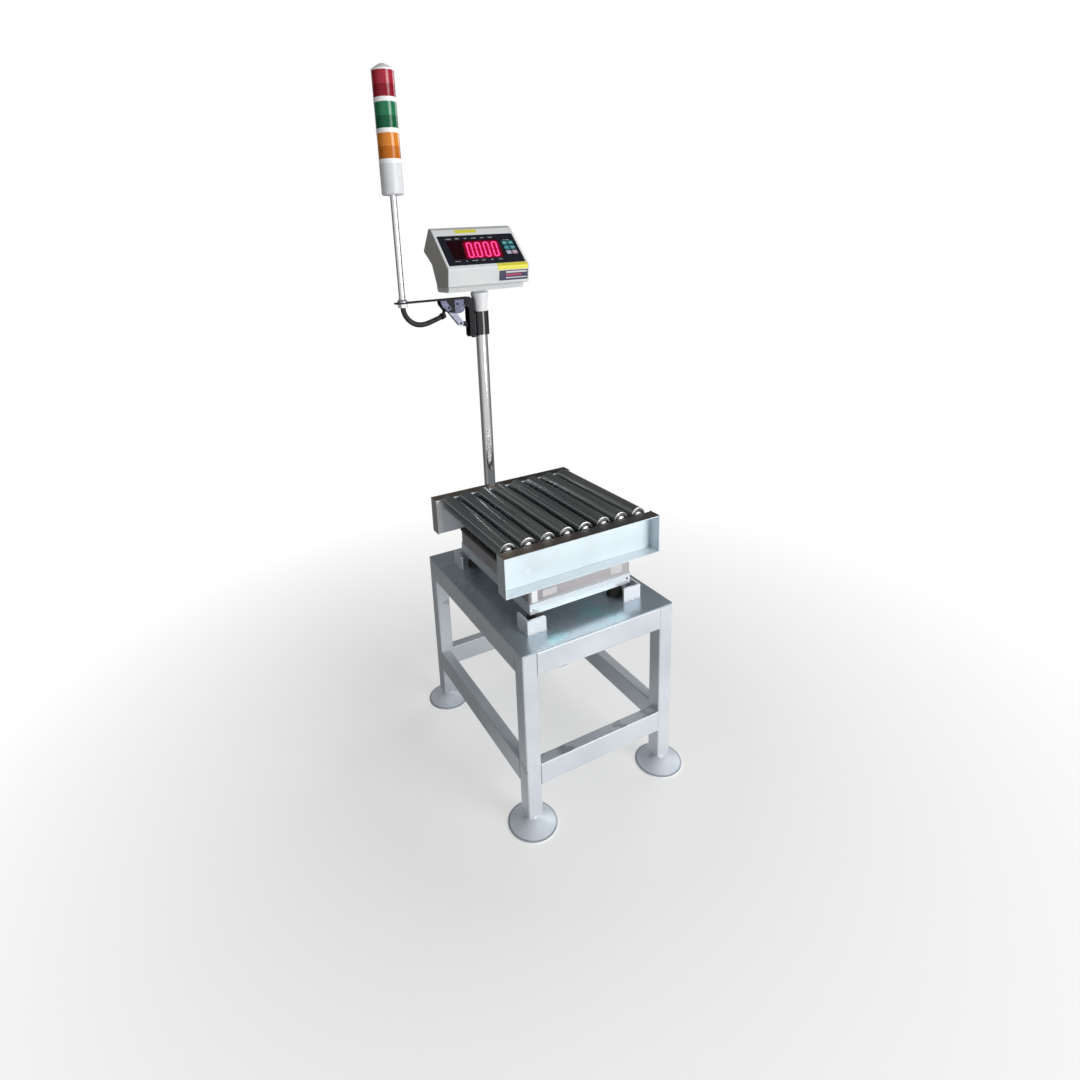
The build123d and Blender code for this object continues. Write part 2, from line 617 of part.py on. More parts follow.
# ---------------------------------------------------------------- indicator
slope = radians(FACE_ANGLE)
foot = (COLUMN_Y + FACE_FOOT_Y, FACE_FOOT_Z)
crest = (foot[0] + FACE_LENGTH * cos(slope), foot[1] + FACE_LENGTH * sin(slope))
crown = (crest[0] + CROWN_DEPTH, crest[1] + CROWN_RISE)
outline = [
    (foot[0] + FRONT_BAND_LEAN, foot[1] - FRONT_BAND_DROP),
    foot,
    crest,
    crown,
    (COLUMN_Y + BACK_BULGE[0], BACK_BULGE[1]),
    (COLUMN_Y + BACK_WAIST[0], BACK_WAIST[1]),
    (COLUMN_Y + BACK_FOOT[0], BACK_FOOT[1]),
]
half = HOUSING_WIDTH / 2
housing_face = fillet(make_face(Plane.YZ * Polyline(*outline, close=True)).vertices(), HOUSING_ROUND)
housing = Pos(-half, 0, 0) * extrude(housing_face, amount=HOUSING_WIDTH, dir=(1, 0, 0))
housing = fillet(housing.faces().filter_by(Axis.X).edges(), HOUSING_WALL)
hollow = Pos(-half + HOUSING_WALL, 0, 0) * extrude(
    offset(housing_face, amount=-HOUSING_WALL), amount=HOUSING_WIDTH - 2 * HOUSING_WALL, dir=(1, 0, 0)
)

# Everything on the sloping front is placed from the middle of the faceplate.
rise = PLATE_MARGIN + PLATE_HEIGHT / 2
face_plane = Plane(
    origin=(0, foot[0] + rise * cos(slope), foot[1] + rise * sin(slope)),
    x_dir=(1, 0, 0),
    z_dir=(0, -sin(slope), cos(slope)),
)


def on_face(x, up, width, height, low, high, corner):
    """Rounded tile on the sloping front, from depth low to depth high."""
    return face_plane * Pos(x, up, low) * extrude(RectangleRounded(width, height, corner), amount=high - low)


front_half = face_plane * Pos(0, 0, 200 - SHELL_SPLIT) * Box(HOUSING_WIDTH + 20, 600, 400)
front_shell = (housing - hollow) & front_half
front_shell -= on_face(0, 0, PLATE_WIDTH, PLATE_HEIGHT, -PLATE_SHEET, 5, 4)
for x in KEY_X:
    for up in KEY_RISE:
        front_shell -= on_face(x, up, KEY_WIDTH + 2 * KEY_GAP, KEY_HEIGHT + 2 * KEY_GAP, -2 * HOUSING_WALL, 5, 1.5)
pieces["indicator_front_shell"] = front_shell

belly_back = COLUMN_Y + 32
belly = plate_yz(
    [
        (foot[0] + 22, BACK_FOOT[1] + 3),
        (foot[0] + 30, BELLY_BOTTOM),
        (belly_back - 8, BELLY_BOTTOM),
        (belly_back, BELLY_BOTTOM + 8),
        (belly_back, BACK_WAIST[1] - 14),
        (COLUMN_Y, BACK_WAIST[1] - 6),
    ],
    -BELLY_HALF,
    BELLY_HALF,
)
belly_hollow = plate_yz(
    [
        (foot[0] + 25, BACK_FOOT[1] + 6),
        (foot[0] + 33, BELLY_BOTTOM + HOUSING_WALL),
        (belly_back - 9, BELLY_BOTTOM + HOUSING_WALL),
        (belly_back - HOUSING_WALL, BELLY_BOTTOM + 9),
        (belly_back - HOUSING_WALL, BACK_WAIST[1] - 18),
        (COLUMN_Y, BACK_WAIST[1] - 8),
    ],
    -BELLY_HALF + HOUSING_WALL,
    BELLY_HALF - HOUSING_WALL,
)
rear_shell = (housing - front_half) + (belly - front_half) - hollow - belly_hollow
ear_inner = KNUCKLE_HALF + SLIDE_GAP
for s in (-1, 1):
    x0, x1 = sorted((s * ear_inner, s * PIVOT_PIN_REACH))
    rear_shell += block(x0, x1, COLUMN_Y - 9, COLUMN_Y + 9, BELLY_BOTTOM + 1, PIVOT_HEIGHT) + rod_x(
        9, COLUMN_Y, PIVOT_HEIGHT, x0, x1
    )
rear_shell -= rod_x(
    KNUCKLE_RADIUS + KNUCKLE_CLEARANCE, COLUMN_Y, PIVOT_HEIGHT, -ear_inner, ear_inner
)
rear_shell -= rod_x(PIVOT_PIN_DIAMETER / 2, COLUMN_Y, PIVOT_HEIGHT, -PIVOT_PIN_REACH, PIVOT_PIN_REACH)
pieces["indicator_rear_shell"] = rear_shell

faceplate = on_face(0, 0, PLATE_WIDTH, PLATE_HEIGHT, -PLATE_SHEET, 0, 4) - on_face(
    WINDOW_X, WINDOW_RISE, WINDOW_WIDTH, WINDOW_HEIGHT, -WINDOW_SHEET, 1, 2
)
pieces["indicator_window"] = on_face(
    WINDOW_X, WINDOW_RISE, WINDOW_WIDTH, WINDOW_HEIGHT, -WINDOW_SHEET, 0, 2
)
key_number = 0
for up in KEY_RISE:
    for x in KEY_X:
        key_number += 1
        faceplate -= on_face(x, up, KEY_WIDTH + 2 * KEY_GAP, KEY_HEIGHT + 2 * KEY_GAP, -PLATE_SHEET - 1, 1, 1.5)
        pieces[f"key_{key_number}"] = on_face(x, up, KEY_WIDTH, KEY_HEIGHT, -KEY_DEPTH, KEY_PROUD, 1.2)
pieces["indicator_faceplate"] = faceplate

neck = turned(
    [
        (COLUMN_RADIUS + RUNNING, NECK_BOTTOM),
        (NECK_RADIUS, NECK_BOTTOM),
        (NECK_RADIUS + 0.5, NECK_BOTTOM + 10),
        (NECK_RADIUS + 2.2, NECK_BOTTOM + 30),
        (NECK_FLARE_RADIUS, NECK_SHOULDER - 7),
        (NECK_FLARE_RADIUS, NECK_SHOULDER - 2),
        (NECK_FLARE_RADIUS - 2, NECK_SHOULDER),
        (0, NECK_SHOULDER),
        (0, COLUMN_TOP),
        (COLUMN_RADIUS + RUNNING, COLUMN_TOP),
    ],
    0,
    COLUMN_Y,
)
neck += block(-KNUCKLE_HALF, KNUCKLE_HALF, COLUMN_Y - 6, COLUMN_Y + 6, NECK_SHOULDER - 1, PIVOT_HEIGHT)
neck += rod_x(KNUCKLE_RADIUS, COLUMN_Y, PIVOT_HEIGHT, -KNUCKLE_HALF, KNUCKLE_HALF)
neck -= rod_x(PIVOT_PIN_DIAMETER / 2 + RUNNING, COLUMN_Y, PIVOT_HEIGHT, -KNUCKLE_HALF - 1, KNUCKLE_HALF + 1)
pieces["indicator_neck"] = neck
pieces["tilt_pin"] = rod_x(PIVOT_PIN_DIAMETER / 2, COLUMN_Y, PIVOT_HEIGHT, -PIVOT_PIN_REACH, PIVOT_PIN_REACH)

# ---------------------------------------------------------------- folding bracket
leg_front = -BRACKET_LEG_BACK - BRACKET_LEG_DEPTH
leg_inside = CHEEK_OUTSIDE / 2 + SLIDE_GAP
leg_outside = leg_inside + BRACKET_LEG_SHEET
saddle_half = 10.0
sleeve = rod(SLEEVE_RADIUS, 0, COLUMN_Y, SLEEVE_BOTTOM, SLEEVE_TOP) + block(
    -BRACKET_LEG_BACK,
    -COLUMN_RADIUS - 2,
    COLUMN_Y - saddle_half,
    COLUMN_Y + saddle_half,
    SLEEVE_BOTTOM + 5,
    SLEEVE_TOP - 5,
)
pieces["column_sleeve"] = sleeve - rod(COLUMN_RADIUS, 0, COLUMN_Y, SLEEVE_BOTTOM, SLEEVE_TOP)

leg_top = FOLD_Z + FOLD_EYE_RADIUS
bracket_leg = block(
    -BRACKET_LEG_BACK - BRACKET_LEG_SHEET,
    -BRACKET_LEG_BACK,
    COLUMN_Y - leg_outside,
    COLUMN_Y + leg_outside,
    BRACKET_LEG_BOTTOM,
    leg_top,
)
for s in (-1, 1):
    y0, y1 = sorted((COLUMN_Y + s * leg_inside, COLUMN_Y + s * leg_outside))
    bracket_leg += plate_xz(
        [
            (-BRACKET_LEG_BACK, BRACKET_LEG_BOTTOM),
            (leg_front + 5, BRACKET_LEG_BOTTOM),
            (leg_front, BRACKET_LEG_BOTTOM + 6),
            (leg_front, FOLD_Z - 18),
            (FOLD_X - FOLD_EYE_RADIUS * 0.8, FOLD_Z - FOLD_EYE_RADIUS * 0.6),
            (FOLD_X, leg_top),
            (-BRACKET_LEG_BACK, leg_top),
        ],
        y0,
        y1,
    )
    bracket_leg += rod_y(FOLD_EYE_RADIUS, FOLD_X, FOLD_Z, y0, y1)
bracket_leg += plate_xz(
    [
        (-BRACKET_LEG_BACK - 1, BRACE_Z - 20),
        (-BRACKET_LEG_BACK - 1, BRACE_Z - 2),
        (BRACE_X, BRACE_Z + BRACE_RADIUS - 2),
        (BRACE_X - 4, BRACE_Z - BRACE_RADIUS + 3.5),
    ],
    COLUMN_Y - LUG_WIDTH / 2,
    COLUMN_Y + LUG_WIDTH / 2,
)
bracket_leg += rod_y(BRACE_RADIUS - 2, BRACE_X, BRACE_Z, COLUMN_Y - LUG_WIDTH / 2, COLUMN_Y + LUG_WIDTH / 2)
bracket_leg -= rod_y(FOLD_PIN_DIAMETER / 2, FOLD_X, FOLD_Z, COLUMN_Y - 30, COLUMN_Y + 30)
bracket_leg -= rod_y(BRACE_PIN_DIAMETER / 2, BRACE_X, BRACE_Z, COLUMN_Y - 30, COLUMN_Y + 30)
pieces["bracket_leg"] = bracket_leg

pin_reach = leg_outside + 1.5
pieces["bracket_pins"] = Compound(
    [
        rod_y(FOLD_PIN_DIAMETER / 2, FOLD_X, FOLD_Z, COLUMN_Y - pin_reach, COLUMN_Y + pin_reach),
        rod_y(
            BRACE_PIN_DIAMETER / 2,
            BRACE_X,
            BRACE_Z,
            COLUMN_Y - BRACE_OUTSIDE / 2 - 1.5,
            COLUMN_Y + BRACE_OUTSIDE / 2 + 1.5,
        ),
    ]
)

arm = block(-ARM_END, FOLD_X + 8, COLUMN_Y - ARM_WIDTH / 2, COLUMN_Y + ARM_WIDTH / 2, ARM_BOTTOM, ARM_TOP)
arm = fillet(arm.edges().filter_by(Axis.Z).group_by(Axis.X)[0], 6)
cheek_inside = CHEEK_OUTSIDE / 2 - CHEEK_THICKNESS
cheek_outline = [
    (FOLD_X + 7, ARM_BOTTOM + 1),
    (FOLD_X - 84, ARM_BOTTOM + 1),
    (FOLD_X - 81, FOLD_Z - 3),
    (FOLD_X - 66, FOLD_Z - 22),
    (FOLD_X - 30, FOLD_Z - 29),
    (FOLD_X - 15, FOLD_Z - 25),
    (FOLD_X - 6, FOLD_Z - 7),
    (FOLD_X + 7, FOLD_Z - 6),
]
for s in (-1, 1):
    y0, y1 = sorted((COLUMN_Y + s * cheek_inside, COLUMN_Y + s * CHEEK_OUTSIDE / 2))
    arm += plate_xz(cheek_outline, y0, y1)
    rivet_0, rivet_1 = sorted((COLUMN_Y + s * CHEEK_OUTSIDE / 2, COLUMN_Y + s * (CHEEK_OUTSIDE / 2 + 1.6)))
    for dx, dz in ((-58.0, -11.0), (-32.0, -2.0)):
        arm += rod_y(3.0, FOLD_X + dx, FOLD_Z + dz, rivet_0 - 0.2, rivet_1 + 0.2)
arm -= rod_y(FOLD_PIN_DIAMETER / 2 + RUNNING, FOLD_X, FOLD_Z, COLUMN_Y - 30, COLUMN_Y + 30)
arm -= rod(POLE_RADIUS + RUNNING, TOWER_X, COLUMN_Y, ARM_BOTTOM - 1, ARM_TOP + 1)

# Sleeved cable from the pole's gland to the clip behind the rear cheek
cable_y = COLUMN_Y + CHEEK_OUTSIDE / 2 + 2.5 + CABLE_DIAMETER / 2
cable_start = Vector(TOWER_X, COLUMN_Y, POLE_BOTTOM)
cable_runs = [(18.0, -90.0), (18.0, -67.0), (20.0, -44.0), (22.0, -22.0), (25.0, -1.0), (28.0, 14.0), (28.0, 26.0)]
cable_drift = [0.0, 1.0, 2.5, 5.0, 6.0, 5.0, 3.0]
cable_points = [cable_start]
for (run, heading), drift in zip(cable_runs, cable_drift):
    here = cable_points[-1]
    cable_points.append(
        Vector(here.X + run * cos(radians(heading)), here.Y + drift, here.Z + run * sin(radians(heading)))
    )


def corner_radii(points):
    """Largest arc at each corner that leaves both its runs a straight stretch."""
    radii = []
    for a, b, c in zip(points, points[1:], points[2:]):
        turn = radians((b - a).get_angle(c - b))
        radii.append(0.45 * min((b - a).length, (c - b).length) / tan(turn / 2))
    return radii


cable_radii = corner_radii(cable_points)
print("cable radii", [round(r) for r in cable_radii])
cable_path = FilletPolyline(*cable_points, radius=cable_radii)
cable_section = Plane(origin=cable_points[0], z_dir=cable_points[1] - cable_points[0]) * Circle(CABLE_DIAMETER / 2)
pieces["tower_cable"] = sweep(cable_section, path=cable_path)
print("cable length", round(cable_path.length, 1),
      "volume ratio", round(pieces["tower_cable"].volume / (cable_section.area * cable_path.length), 4))

clip_direction = (cable_points[-1] - cable_points[-2]).normalized()
clip_plane = Plane(origin=cable_points[-1], z_dir=clip_direction)
clip = clip_plane * Pos(0, 0, CABLE_CLIP_LENGTH / 2) * Cylinder(CABLE_CLIP_RADIUS, CABLE_CLIP_LENGTH)
clip_base = cable_points[-1] + clip_direction * (CABLE_CLIP_LENGTH / 2)
clip += block(
    clip_base.X - 4,
    clip_base.X + 4,
    COLUMN_Y + CHEEK_OUTSIDE / 2,
    COLUMN_Y + CHEEK_OUTSIDE / 2 + 2.5,
    clip_base.Z - 3,
    FOLD_Z - 10,
)
pieces["bracket_arm"] = arm + clip

brace_turn = radians(BRACE_ANGLE)
brace_tip = (BRACE_X + BRACE_LENGTH * cos(brace_turn), BRACE_Z + BRACE_LENGTH * sin(brace_turn))
side = (-sin(brace_turn) * BRACE_RADIUS, cos(brace_turn) * BRACE_RADIUS)
brace = None
for s in (-1, 1):
    y0, y1 = sorted((COLUMN_Y + s * BRACE_OUTSIDE / 2, COLUMN_Y + s * (BRACE_OUTSIDE / 2 - BRACE_SHEET)))
    side_plate = (
        plate_xz(
            [
                (BRACE_X + side[0], BRACE_Z + side[1]),
                (brace_tip[0] + side[0], brace_tip[1] + side[1]),
                (brace_tip[0] - side[0], brace_tip[1] - side[1]),
                (BRACE_X - side[0], BRACE_Z - side[1]),
            ],
            y0,
            y1,
        )
        + rod_y(BRACE_RADIUS, BRACE_X, BRACE_Z, y0, y1)
        + rod_y(BRACE_RADIUS, brace_tip[0], brace_tip[1], y0, y1)
    )
    brace = side_plate if brace is None else brace + side_plate
web_start = 0.32
web_out = 1 - BRACE_SHEET / BRACE_RADIUS
web_from = (BRACE_X + (brace_tip[0] - BRACE_X) * web_start, BRACE_Z + (brace_tip[1] - BRACE_Z) * web_start)
brace += plate_xz(
    [
        (web_from[0] + side[0], web_from[1] + side[1]),
        (brace_tip[0] + side[0], brace_tip[1] + side[1]),
        (brace_tip[0] + side[0] * web_out, brace_tip[1] + side[1] * web_out),
        (web_from[0] + side[0] * web_out, web_from[1] + side[1] * web_out),
    ],
    COLUMN_Y - BRACE_OUTSIDE / 2,
    COLUMN_Y + BRACE_OUTSIDE / 2,
)
brace -= rod_y(BRACE_PIN_DIAMETER / 2 + RUNNING, BRACE_X, BRACE_Z, COLUMN_Y - 20, COLUMN_Y + 20)
pieces["bracket_brace"] = brace

# ---------------------------------------------------------------- signal tower
pieces["tower_pole"] = rod(POLE_RADIUS, TOWER_X, COLUMN_Y, POLE_BOTTOM, TOWER_BOTTOM) - rod(
    POLE_RADIUS - POLE_WALL, TOWER_X, COLUMN_Y, POLE_BOTTOM + 3, TOWER_BOTTOM
)
pole_nut = turned(
    [
        (POLE_RADIUS, ARM_TOP),
        (POLE_NUT_DIAMETER / 2, ARM_TOP),
        (POLE_NUT_DIAMETER / 2, ARM_TOP + 3),
        (POLE_NUT_DIAMETER / 2 - 3, ARM_TOP + POLE_NUT_HEIGHT),
        (POLE_RADIUS, ARM_TOP + POLE_NUT_HEIGHT),
    ],
    TOWER_X,
    COLUMN_Y,
)
gland_nut = hex_prism(GLAND_NUT_FLATS, TOWER_X, COLUMN_Y, ARM_BOTTOM - GLAND_NUT_HEIGHT, ARM_BOTTOM) - rod(
    POLE_RADIUS, TOWER_X, COLUMN_Y, ARM_BOTTOM - GLAND_NUT_HEIGHT, ARM_BOTTOM
)
pieces["pole_nuts"] = Compound([pole_nut, gland_nut])

base_top = TOWER_BOTTOM + TOWER_BASE_HEIGHT
pieces["tower_base"] = turned(
    [
        (0, TOWER_BOTTOM),
        (TOWER_RADIUS - 3, TOWER_BOTTOM),
        (TOWER_RADIUS, TOWER_BOTTOM + 3),
        (TOWER_RADIUS, base_top),
        (0, base_top),
    ],
    TOWER_X,
    COLUMN_Y,
)
rings, cores = [], []
z = base_top
for colour in ("amber", "green", "red"):
    rings.append(
        turned(
            [
                (0, z),
                (TOWER_RADIUS, z),
                (TOWER_RADIUS, z + RING_HEIGHT),
                (0, z + RING_HEIGHT),
            ],
            TOWER_X,
            COLUMN_Y,
        )
    )
    z += RING_HEIGHT
    lens = TOWER_RADIUS - 0.6
    pieces["lens_" + colour] = rod(lens, TOWER_X, COLUMN_Y, z, z + LENS_HEIGHT) - rod(
        lens - LENS_WALL, TOWER_X, COLUMN_Y, z, z + LENS_HEIGHT
    )
    cores.append(rod(CORE_DIAMETER / 2, TOWER_X, COLUMN_Y, z, z + LENS_HEIGHT))
    z += LENS_HEIGHT
pieces["tower_rings"] = Compound(rings)
pieces["light_cores"] = Compound(cores)
pieces["tower_cap"] = turned(
    [
        (0, z),
        (TOWER_RADIUS, z),
        (TOWER_RADIUS, z + 4),
        (TOWER_RADIUS * 0.55, z + CAP_HEIGHT * 0.72),
        (TOWER_RADIUS * 0.2, z + CAP_HEIGHT),
        (0, z + CAP_HEIGHT),
    ],
    TOWER_X,
    COLUMN_Y,
)

# ---------------------------------------------------------------- files
os.makedirs("parts", exist_ok=True)
for name, shape in pieces.items():
    export_step(shape, f"parts/{name}.step")
print(len(pieces), "parts written")
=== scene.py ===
import json
from math import cos, pi, radians, sin, tan

import bmesh
import bpy
from mathutils import Matrix, Vector


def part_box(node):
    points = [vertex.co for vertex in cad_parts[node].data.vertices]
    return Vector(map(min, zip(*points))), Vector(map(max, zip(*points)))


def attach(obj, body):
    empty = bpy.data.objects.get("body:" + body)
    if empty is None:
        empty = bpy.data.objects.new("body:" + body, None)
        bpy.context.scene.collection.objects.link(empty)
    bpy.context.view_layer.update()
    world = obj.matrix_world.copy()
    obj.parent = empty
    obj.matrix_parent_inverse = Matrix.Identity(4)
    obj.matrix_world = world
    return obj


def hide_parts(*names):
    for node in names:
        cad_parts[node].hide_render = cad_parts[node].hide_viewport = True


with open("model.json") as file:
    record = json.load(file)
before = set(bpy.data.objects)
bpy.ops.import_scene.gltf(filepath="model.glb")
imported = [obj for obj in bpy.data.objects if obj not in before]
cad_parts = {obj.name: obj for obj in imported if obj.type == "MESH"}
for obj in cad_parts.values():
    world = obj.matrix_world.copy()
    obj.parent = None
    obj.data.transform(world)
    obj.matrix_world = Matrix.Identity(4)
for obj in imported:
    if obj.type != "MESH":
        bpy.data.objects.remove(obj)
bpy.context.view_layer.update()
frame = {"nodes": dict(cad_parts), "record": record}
nodes = frame["nodes"]


# Studio: a pale floor that fades to white, two soft windows in front on the right, a weak fill from
# high on the right, a dark room behind and above that chrome mirrors, and a wide-angle camera.
class Wire:
    """A node's output that Python's arithmetic can go on from."""

    def __init__(self, net, socket):
        self.net, self.socket = net, socket

    def math(self, operation, *values):
        return self.net.add("ShaderNodeMath", {"operation": operation}, dict(enumerate(values)))

    def __add__(self, other):
        return self.math("ADD", self, other)

    def __sub__(self, other):
        return self.math("SUBTRACT", self, other)

    def __mul__(self, other):
        return self.math("MULTIPLY", self, other)

    def __truediv__(self, other):
        return self.math("DIVIDE", self, other)

    def __rsub__(self, other):
        return self.math("SUBTRACT", other, self)

    __radd__, __rmul__ = __add__, __mul__

    def __abs__(self):
        return self.math("ABSOLUTE", self)

    def over(self, low, high):
        """0 below low, 1 above high, straight between."""
        return self.net.add("ShaderNodeMapRange", {}, {0: self, 1: low, 2: high})

    def within(self, low, high, edge=0.0003):
        """1 between two values, 0 outside them."""
        return self.over(low - edge, low) * (1 - self.over(high, high + edge))

    def at_least(self, other):
        return self.math("MAXIMUM", self, other)


class Net:
    """A node tree and the one way that nodes get into it."""

    def __init__(self, tree):
        self.tree = tree
        tree.nodes.clear()

    def add(self, kind, settings=None, sockets=None, out=0):
        node = self.tree.nodes.new(kind)
        for key, value in (settings or {}).items():
            setattr(node, key, value)
        for key, value in (sockets or {}).items():
            if isinstance(value, Wire):
                self.tree.links.new(value.socket, node.inputs[key])
            elif value is not None:
                node.inputs[key].default_value = value
        return Wire(self, node.outputs[out]) if len(node.outputs) else node


class Finish(Net):
    """A material. Patterns are read from the piece's own place in metres."""

    def __init__(self, name):
        self.material = bpy.data.materials.new(name)
        self.material.use_nodes = True
        super().__init__(self.material.node_tree)
        self.place = self.add("ShaderNodeTexCoord", out="Object")

    def axis(self, letter):
        return self.add("ShaderNodeSeparateXYZ", {}, {0: self.place}, out=letter)

    def noise(self, scale, detail, stretch=(1, 1, 1)):
        drawn = self.add("ShaderNodeMapping", {}, {"Vector": self.place, "Scale": stretch})
        return self.add("ShaderNodeTexNoise", {}, {"Vector": drawn, "Scale": scale, "Detail": detail})

    def near(self, place, inner, outer):
        """1 at a place, fading to 0 between two distances from it."""
        away = self.add("ShaderNodeVectorMath", {"operation": "DISTANCE"}, {0: self.place, 1: place},
                        out="Value")
        return 1 - away.over(inner, outer)

    def scratch(self, start, end, width):
        """1 on a thin straight mark between two places given by X and Z."""
        run = Vector(end) - Vector(start)
        middle, turn = (Vector(start) + Vector(end)) / 2, run.normalized()
        x, z = self.axis("X") - middle.x, self.axis("Z") - middle.y
        along, across = abs(x * turn.x + z * turn.y), abs(z * turn.x - x * turn.y)
        half = run.length / 2
        return (1 - along.over(half, half + width)) * (1 - across.over(width / 2, width))

    def mix(self, share, first, second):
        first, second = (c if isinstance(c, Wire) else (*c, 1) for c in (first, second))
        return self.add("ShaderNodeMix", {"data_type": "RGBA"}, {0: share, 6: first, 7: second}, out=2)

    def bump(self, height, depth):
        return self.add("ShaderNodeBump", {}, {"Height": height, "Distance": depth, "Strength": 1.0})

    def surface(self, **sockets):
        named = {key.replace("_", " "): value for key, value in sockets.items()}
        for key in ("Base Color", "Emission Color"):
            if isinstance(named.get(key), tuple):
                named[key] = (*named[key], 1)
        shader = self.add("ShaderNodeBsdfPrincipled", {}, named)
        self.add("ShaderNodeOutputMaterial", {}, {0: shader})
        return self.material


WINDOW_SIDE = Vector((-0.14, -0.99, 0.0))      # level direction of the bright side


def brightness(x, y):
    """How much of the bright side a mirrored ray meets: 0 behind the scale, 1 towards the window."""
    return (x * WINDOW_SIDE.x + y * WINDOW_SIDE.y).over(-0.2, 0.8)


def kinds_of_ray(net):
    """Rays that go straight to the picture, and mirrored ones."""
    camera_ray, mirrored, through = (
        net.add("ShaderNodeLightPath", out=f"Is {kind} Ray")
        for kind in ("Camera", "Glossy", "Transmission"))
    return camera_ray.at_least(through), mirrored


floor_mesh = bmesh.new()
bmesh.ops.create_circle(floor_mesh, cap_ends=True, segments=96, radius=14.0)
floor = bpy.data.objects.new("floor", bpy.data.meshes.new("floor"))
floor_mesh.to_mesh(floor.data)
bpy.context.collection.objects.link(floor)
FADE_FROM, FADE_TO = 0.55, 1.7          # distances from the middle between which the floor turns white
PAPER_GREY, WHITE_SHARE = 0.86, 0.5     # the paper's own grey, and the share of plain white in it
MIRROR_DROP, MIRROR_LIFT = 0.82, 0.72   # a mirrored floor is darker, but less so towards the windows
paper = Finish("floor_paper")
seen, mirrored = kinds_of_ray(paper)
reach = paper.add("ShaderNodeVectorMath", {"operation": "LENGTH"}, {0: paper.place}, out="Value")
spread = reach.over(FADE_FROM, FADE_TO)
divisor = reach.at_least(0.05)
bright = brightness(paper.axis("X") / divisor, paper.axis("Y") / divisor)
grey = paper.add("ShaderNodeBsdfDiffuse", {}, {"Color": (PAPER_GREY, PAPER_GREY, PAPER_GREY, 1)})
white = paper.add("ShaderNodeEmission", {}, {
    "Color": (1, 1, 1, 1), "Strength": 1 - mirrored * (1 - seen) * (MIRROR_DROP - MIRROR_LIFT * bright)})
share = (seen * (WHITE_SHARE + (1 - WHITE_SHARE) * spread)).at_least(mirrored)
faded = paper.add("ShaderNodeMixShader", {}, {0: share, 1: grey, 2: white})
paper.add("ShaderNodeOutputMaterial", {}, {0: faded})
floor.data.materials.append(paper.material)

SKY_FILL, ROOM_DARK, ROOM_BRIGHT = 0.28, 0.12, 0.85
CEILING_FROM, CEILING_TO, CEILING_DROP = 0.35, 0.85, 0.7
TUBES = ((-1.35, 0.05, 0.50), (-0.25, 0.02, 0.35), (0.45, 0.04, 0.20))      # lean, width, brightness
TUBE_BLUR = 3.5                                                             # in widths
world = bpy.data.worlds.new("studio")
bpy.context.scene.world = world
world.use_nodes = True
sky = Net(world.node_tree)
seen, mirrored = kinds_of_ray(sky)
gaze = sky.add("ShaderNodeTexCoord", out="Generated")
x, y, z = (sky.add("ShaderNodeSeparateXYZ", {}, {0: gaze}, out=letter) for letter in "XYZ")
room = (ROOM_DARK + ROOM_BRIGHT * brightness(x, y)) * (
    1 - CEILING_DROP * z.over(CEILING_FROM, CEILING_TO))
# Three long lamp tubes under the ceiling behind the scale, seen only in mirrored rays
for lean, width, power in TUBES:
    tube = 1 - abs(x - z * lean).over(width, width * TUBE_BLUR)
    room = room + power * tube * z.over(0.02, 0.06) * y.over(0.3, 0.45)
plain = SKY_FILL + mirrored * (room - SKY_FILL)
sky.add("ShaderNodeOutputWorld", {}, {0: sky.add("ShaderNodeBackground", {}, {
    "Color": (1, 1, 1, 1), "Strength": plain + seen * (1 - plain)})})

AIM = Vector((0, 0, 0.8))
for name, place, size, watts in (
    ("front_window", (2.1, -4.4, 2.1), 2.3, 140),
    ("front_low", (1.2, -4.4, 0.45), 1.6, 70),
    ("side_fill", (3.6, 1.5, 3.0), 1.8, 34),
):
    lamp = bpy.data.lights.new(name, "AREA")
    lamp.size, lamp.energy = size, watts
    lit = bpy.data.objects.new(name, lamp)
    bpy.context.collection.objects.link(lit)
    lit.location = place
    lit.rotation_euler = (AIM - Vector(place)).to_track_quat("-Z", "Y").to_euler()

CAMERA_PLACE = (-0.8081, -1.4094, 1.3967)
CAMERA_YAW, CAMERA_PITCH, CAMERA_ROLL = 0.4507, 0.2664, 0.0541
camera = bpy.data.objects.new("camera", bpy.data.cameras.new("camera"))
bpy.context.collection.objects.link(camera)
camera.matrix_world = (
    Matrix.Translation(CAMERA_PLACE)
    @ Matrix.Rotation(-CAMERA_YAW, 4, "Z")
    @ Matrix.Rotation(pi / 2 - CAMERA_PITCH, 4, "X")
    @ Matrix.Rotation(-CAMERA_ROLL, 4, "Z")
)
camera.data.sensor_width = 36.0
camera.data.lens = 21.50
camera.data.shift_x, camera.data.shift_y = 0.0453, -0.1103
bpy.context.scene.camera = camera
bpy.context.scene.view_settings.view_transform = "Standard"

# Stand: welded square and flat tube with a steel plate on top, sprayed silver-grey all over
# after welding. The spray is thin and semi-gloss, with a patchy bloom. The plate is coloured
# darker and bluer than the rest, as painted reflection of a dark room.
def put_on(material, *names):
    """Gives CAD nodes a material."""
    for name in names:
        nodes[name].data.materials.clear()
        nodes[name].data.materials.append(material)


plate_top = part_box("top_plate")[1].z
paint = Finish("stand_paint")
bloom = paint.noise(5.0, 3).over(0.4, 0.62)
speck = paint.noise(420, 1).over(0.66, 0.74)
scuff = paint.noise(34, 4, (1, 0.3, 1)).over(0.66, 0.71) * paint.noise(7, 1).over(0.52, 0.62)
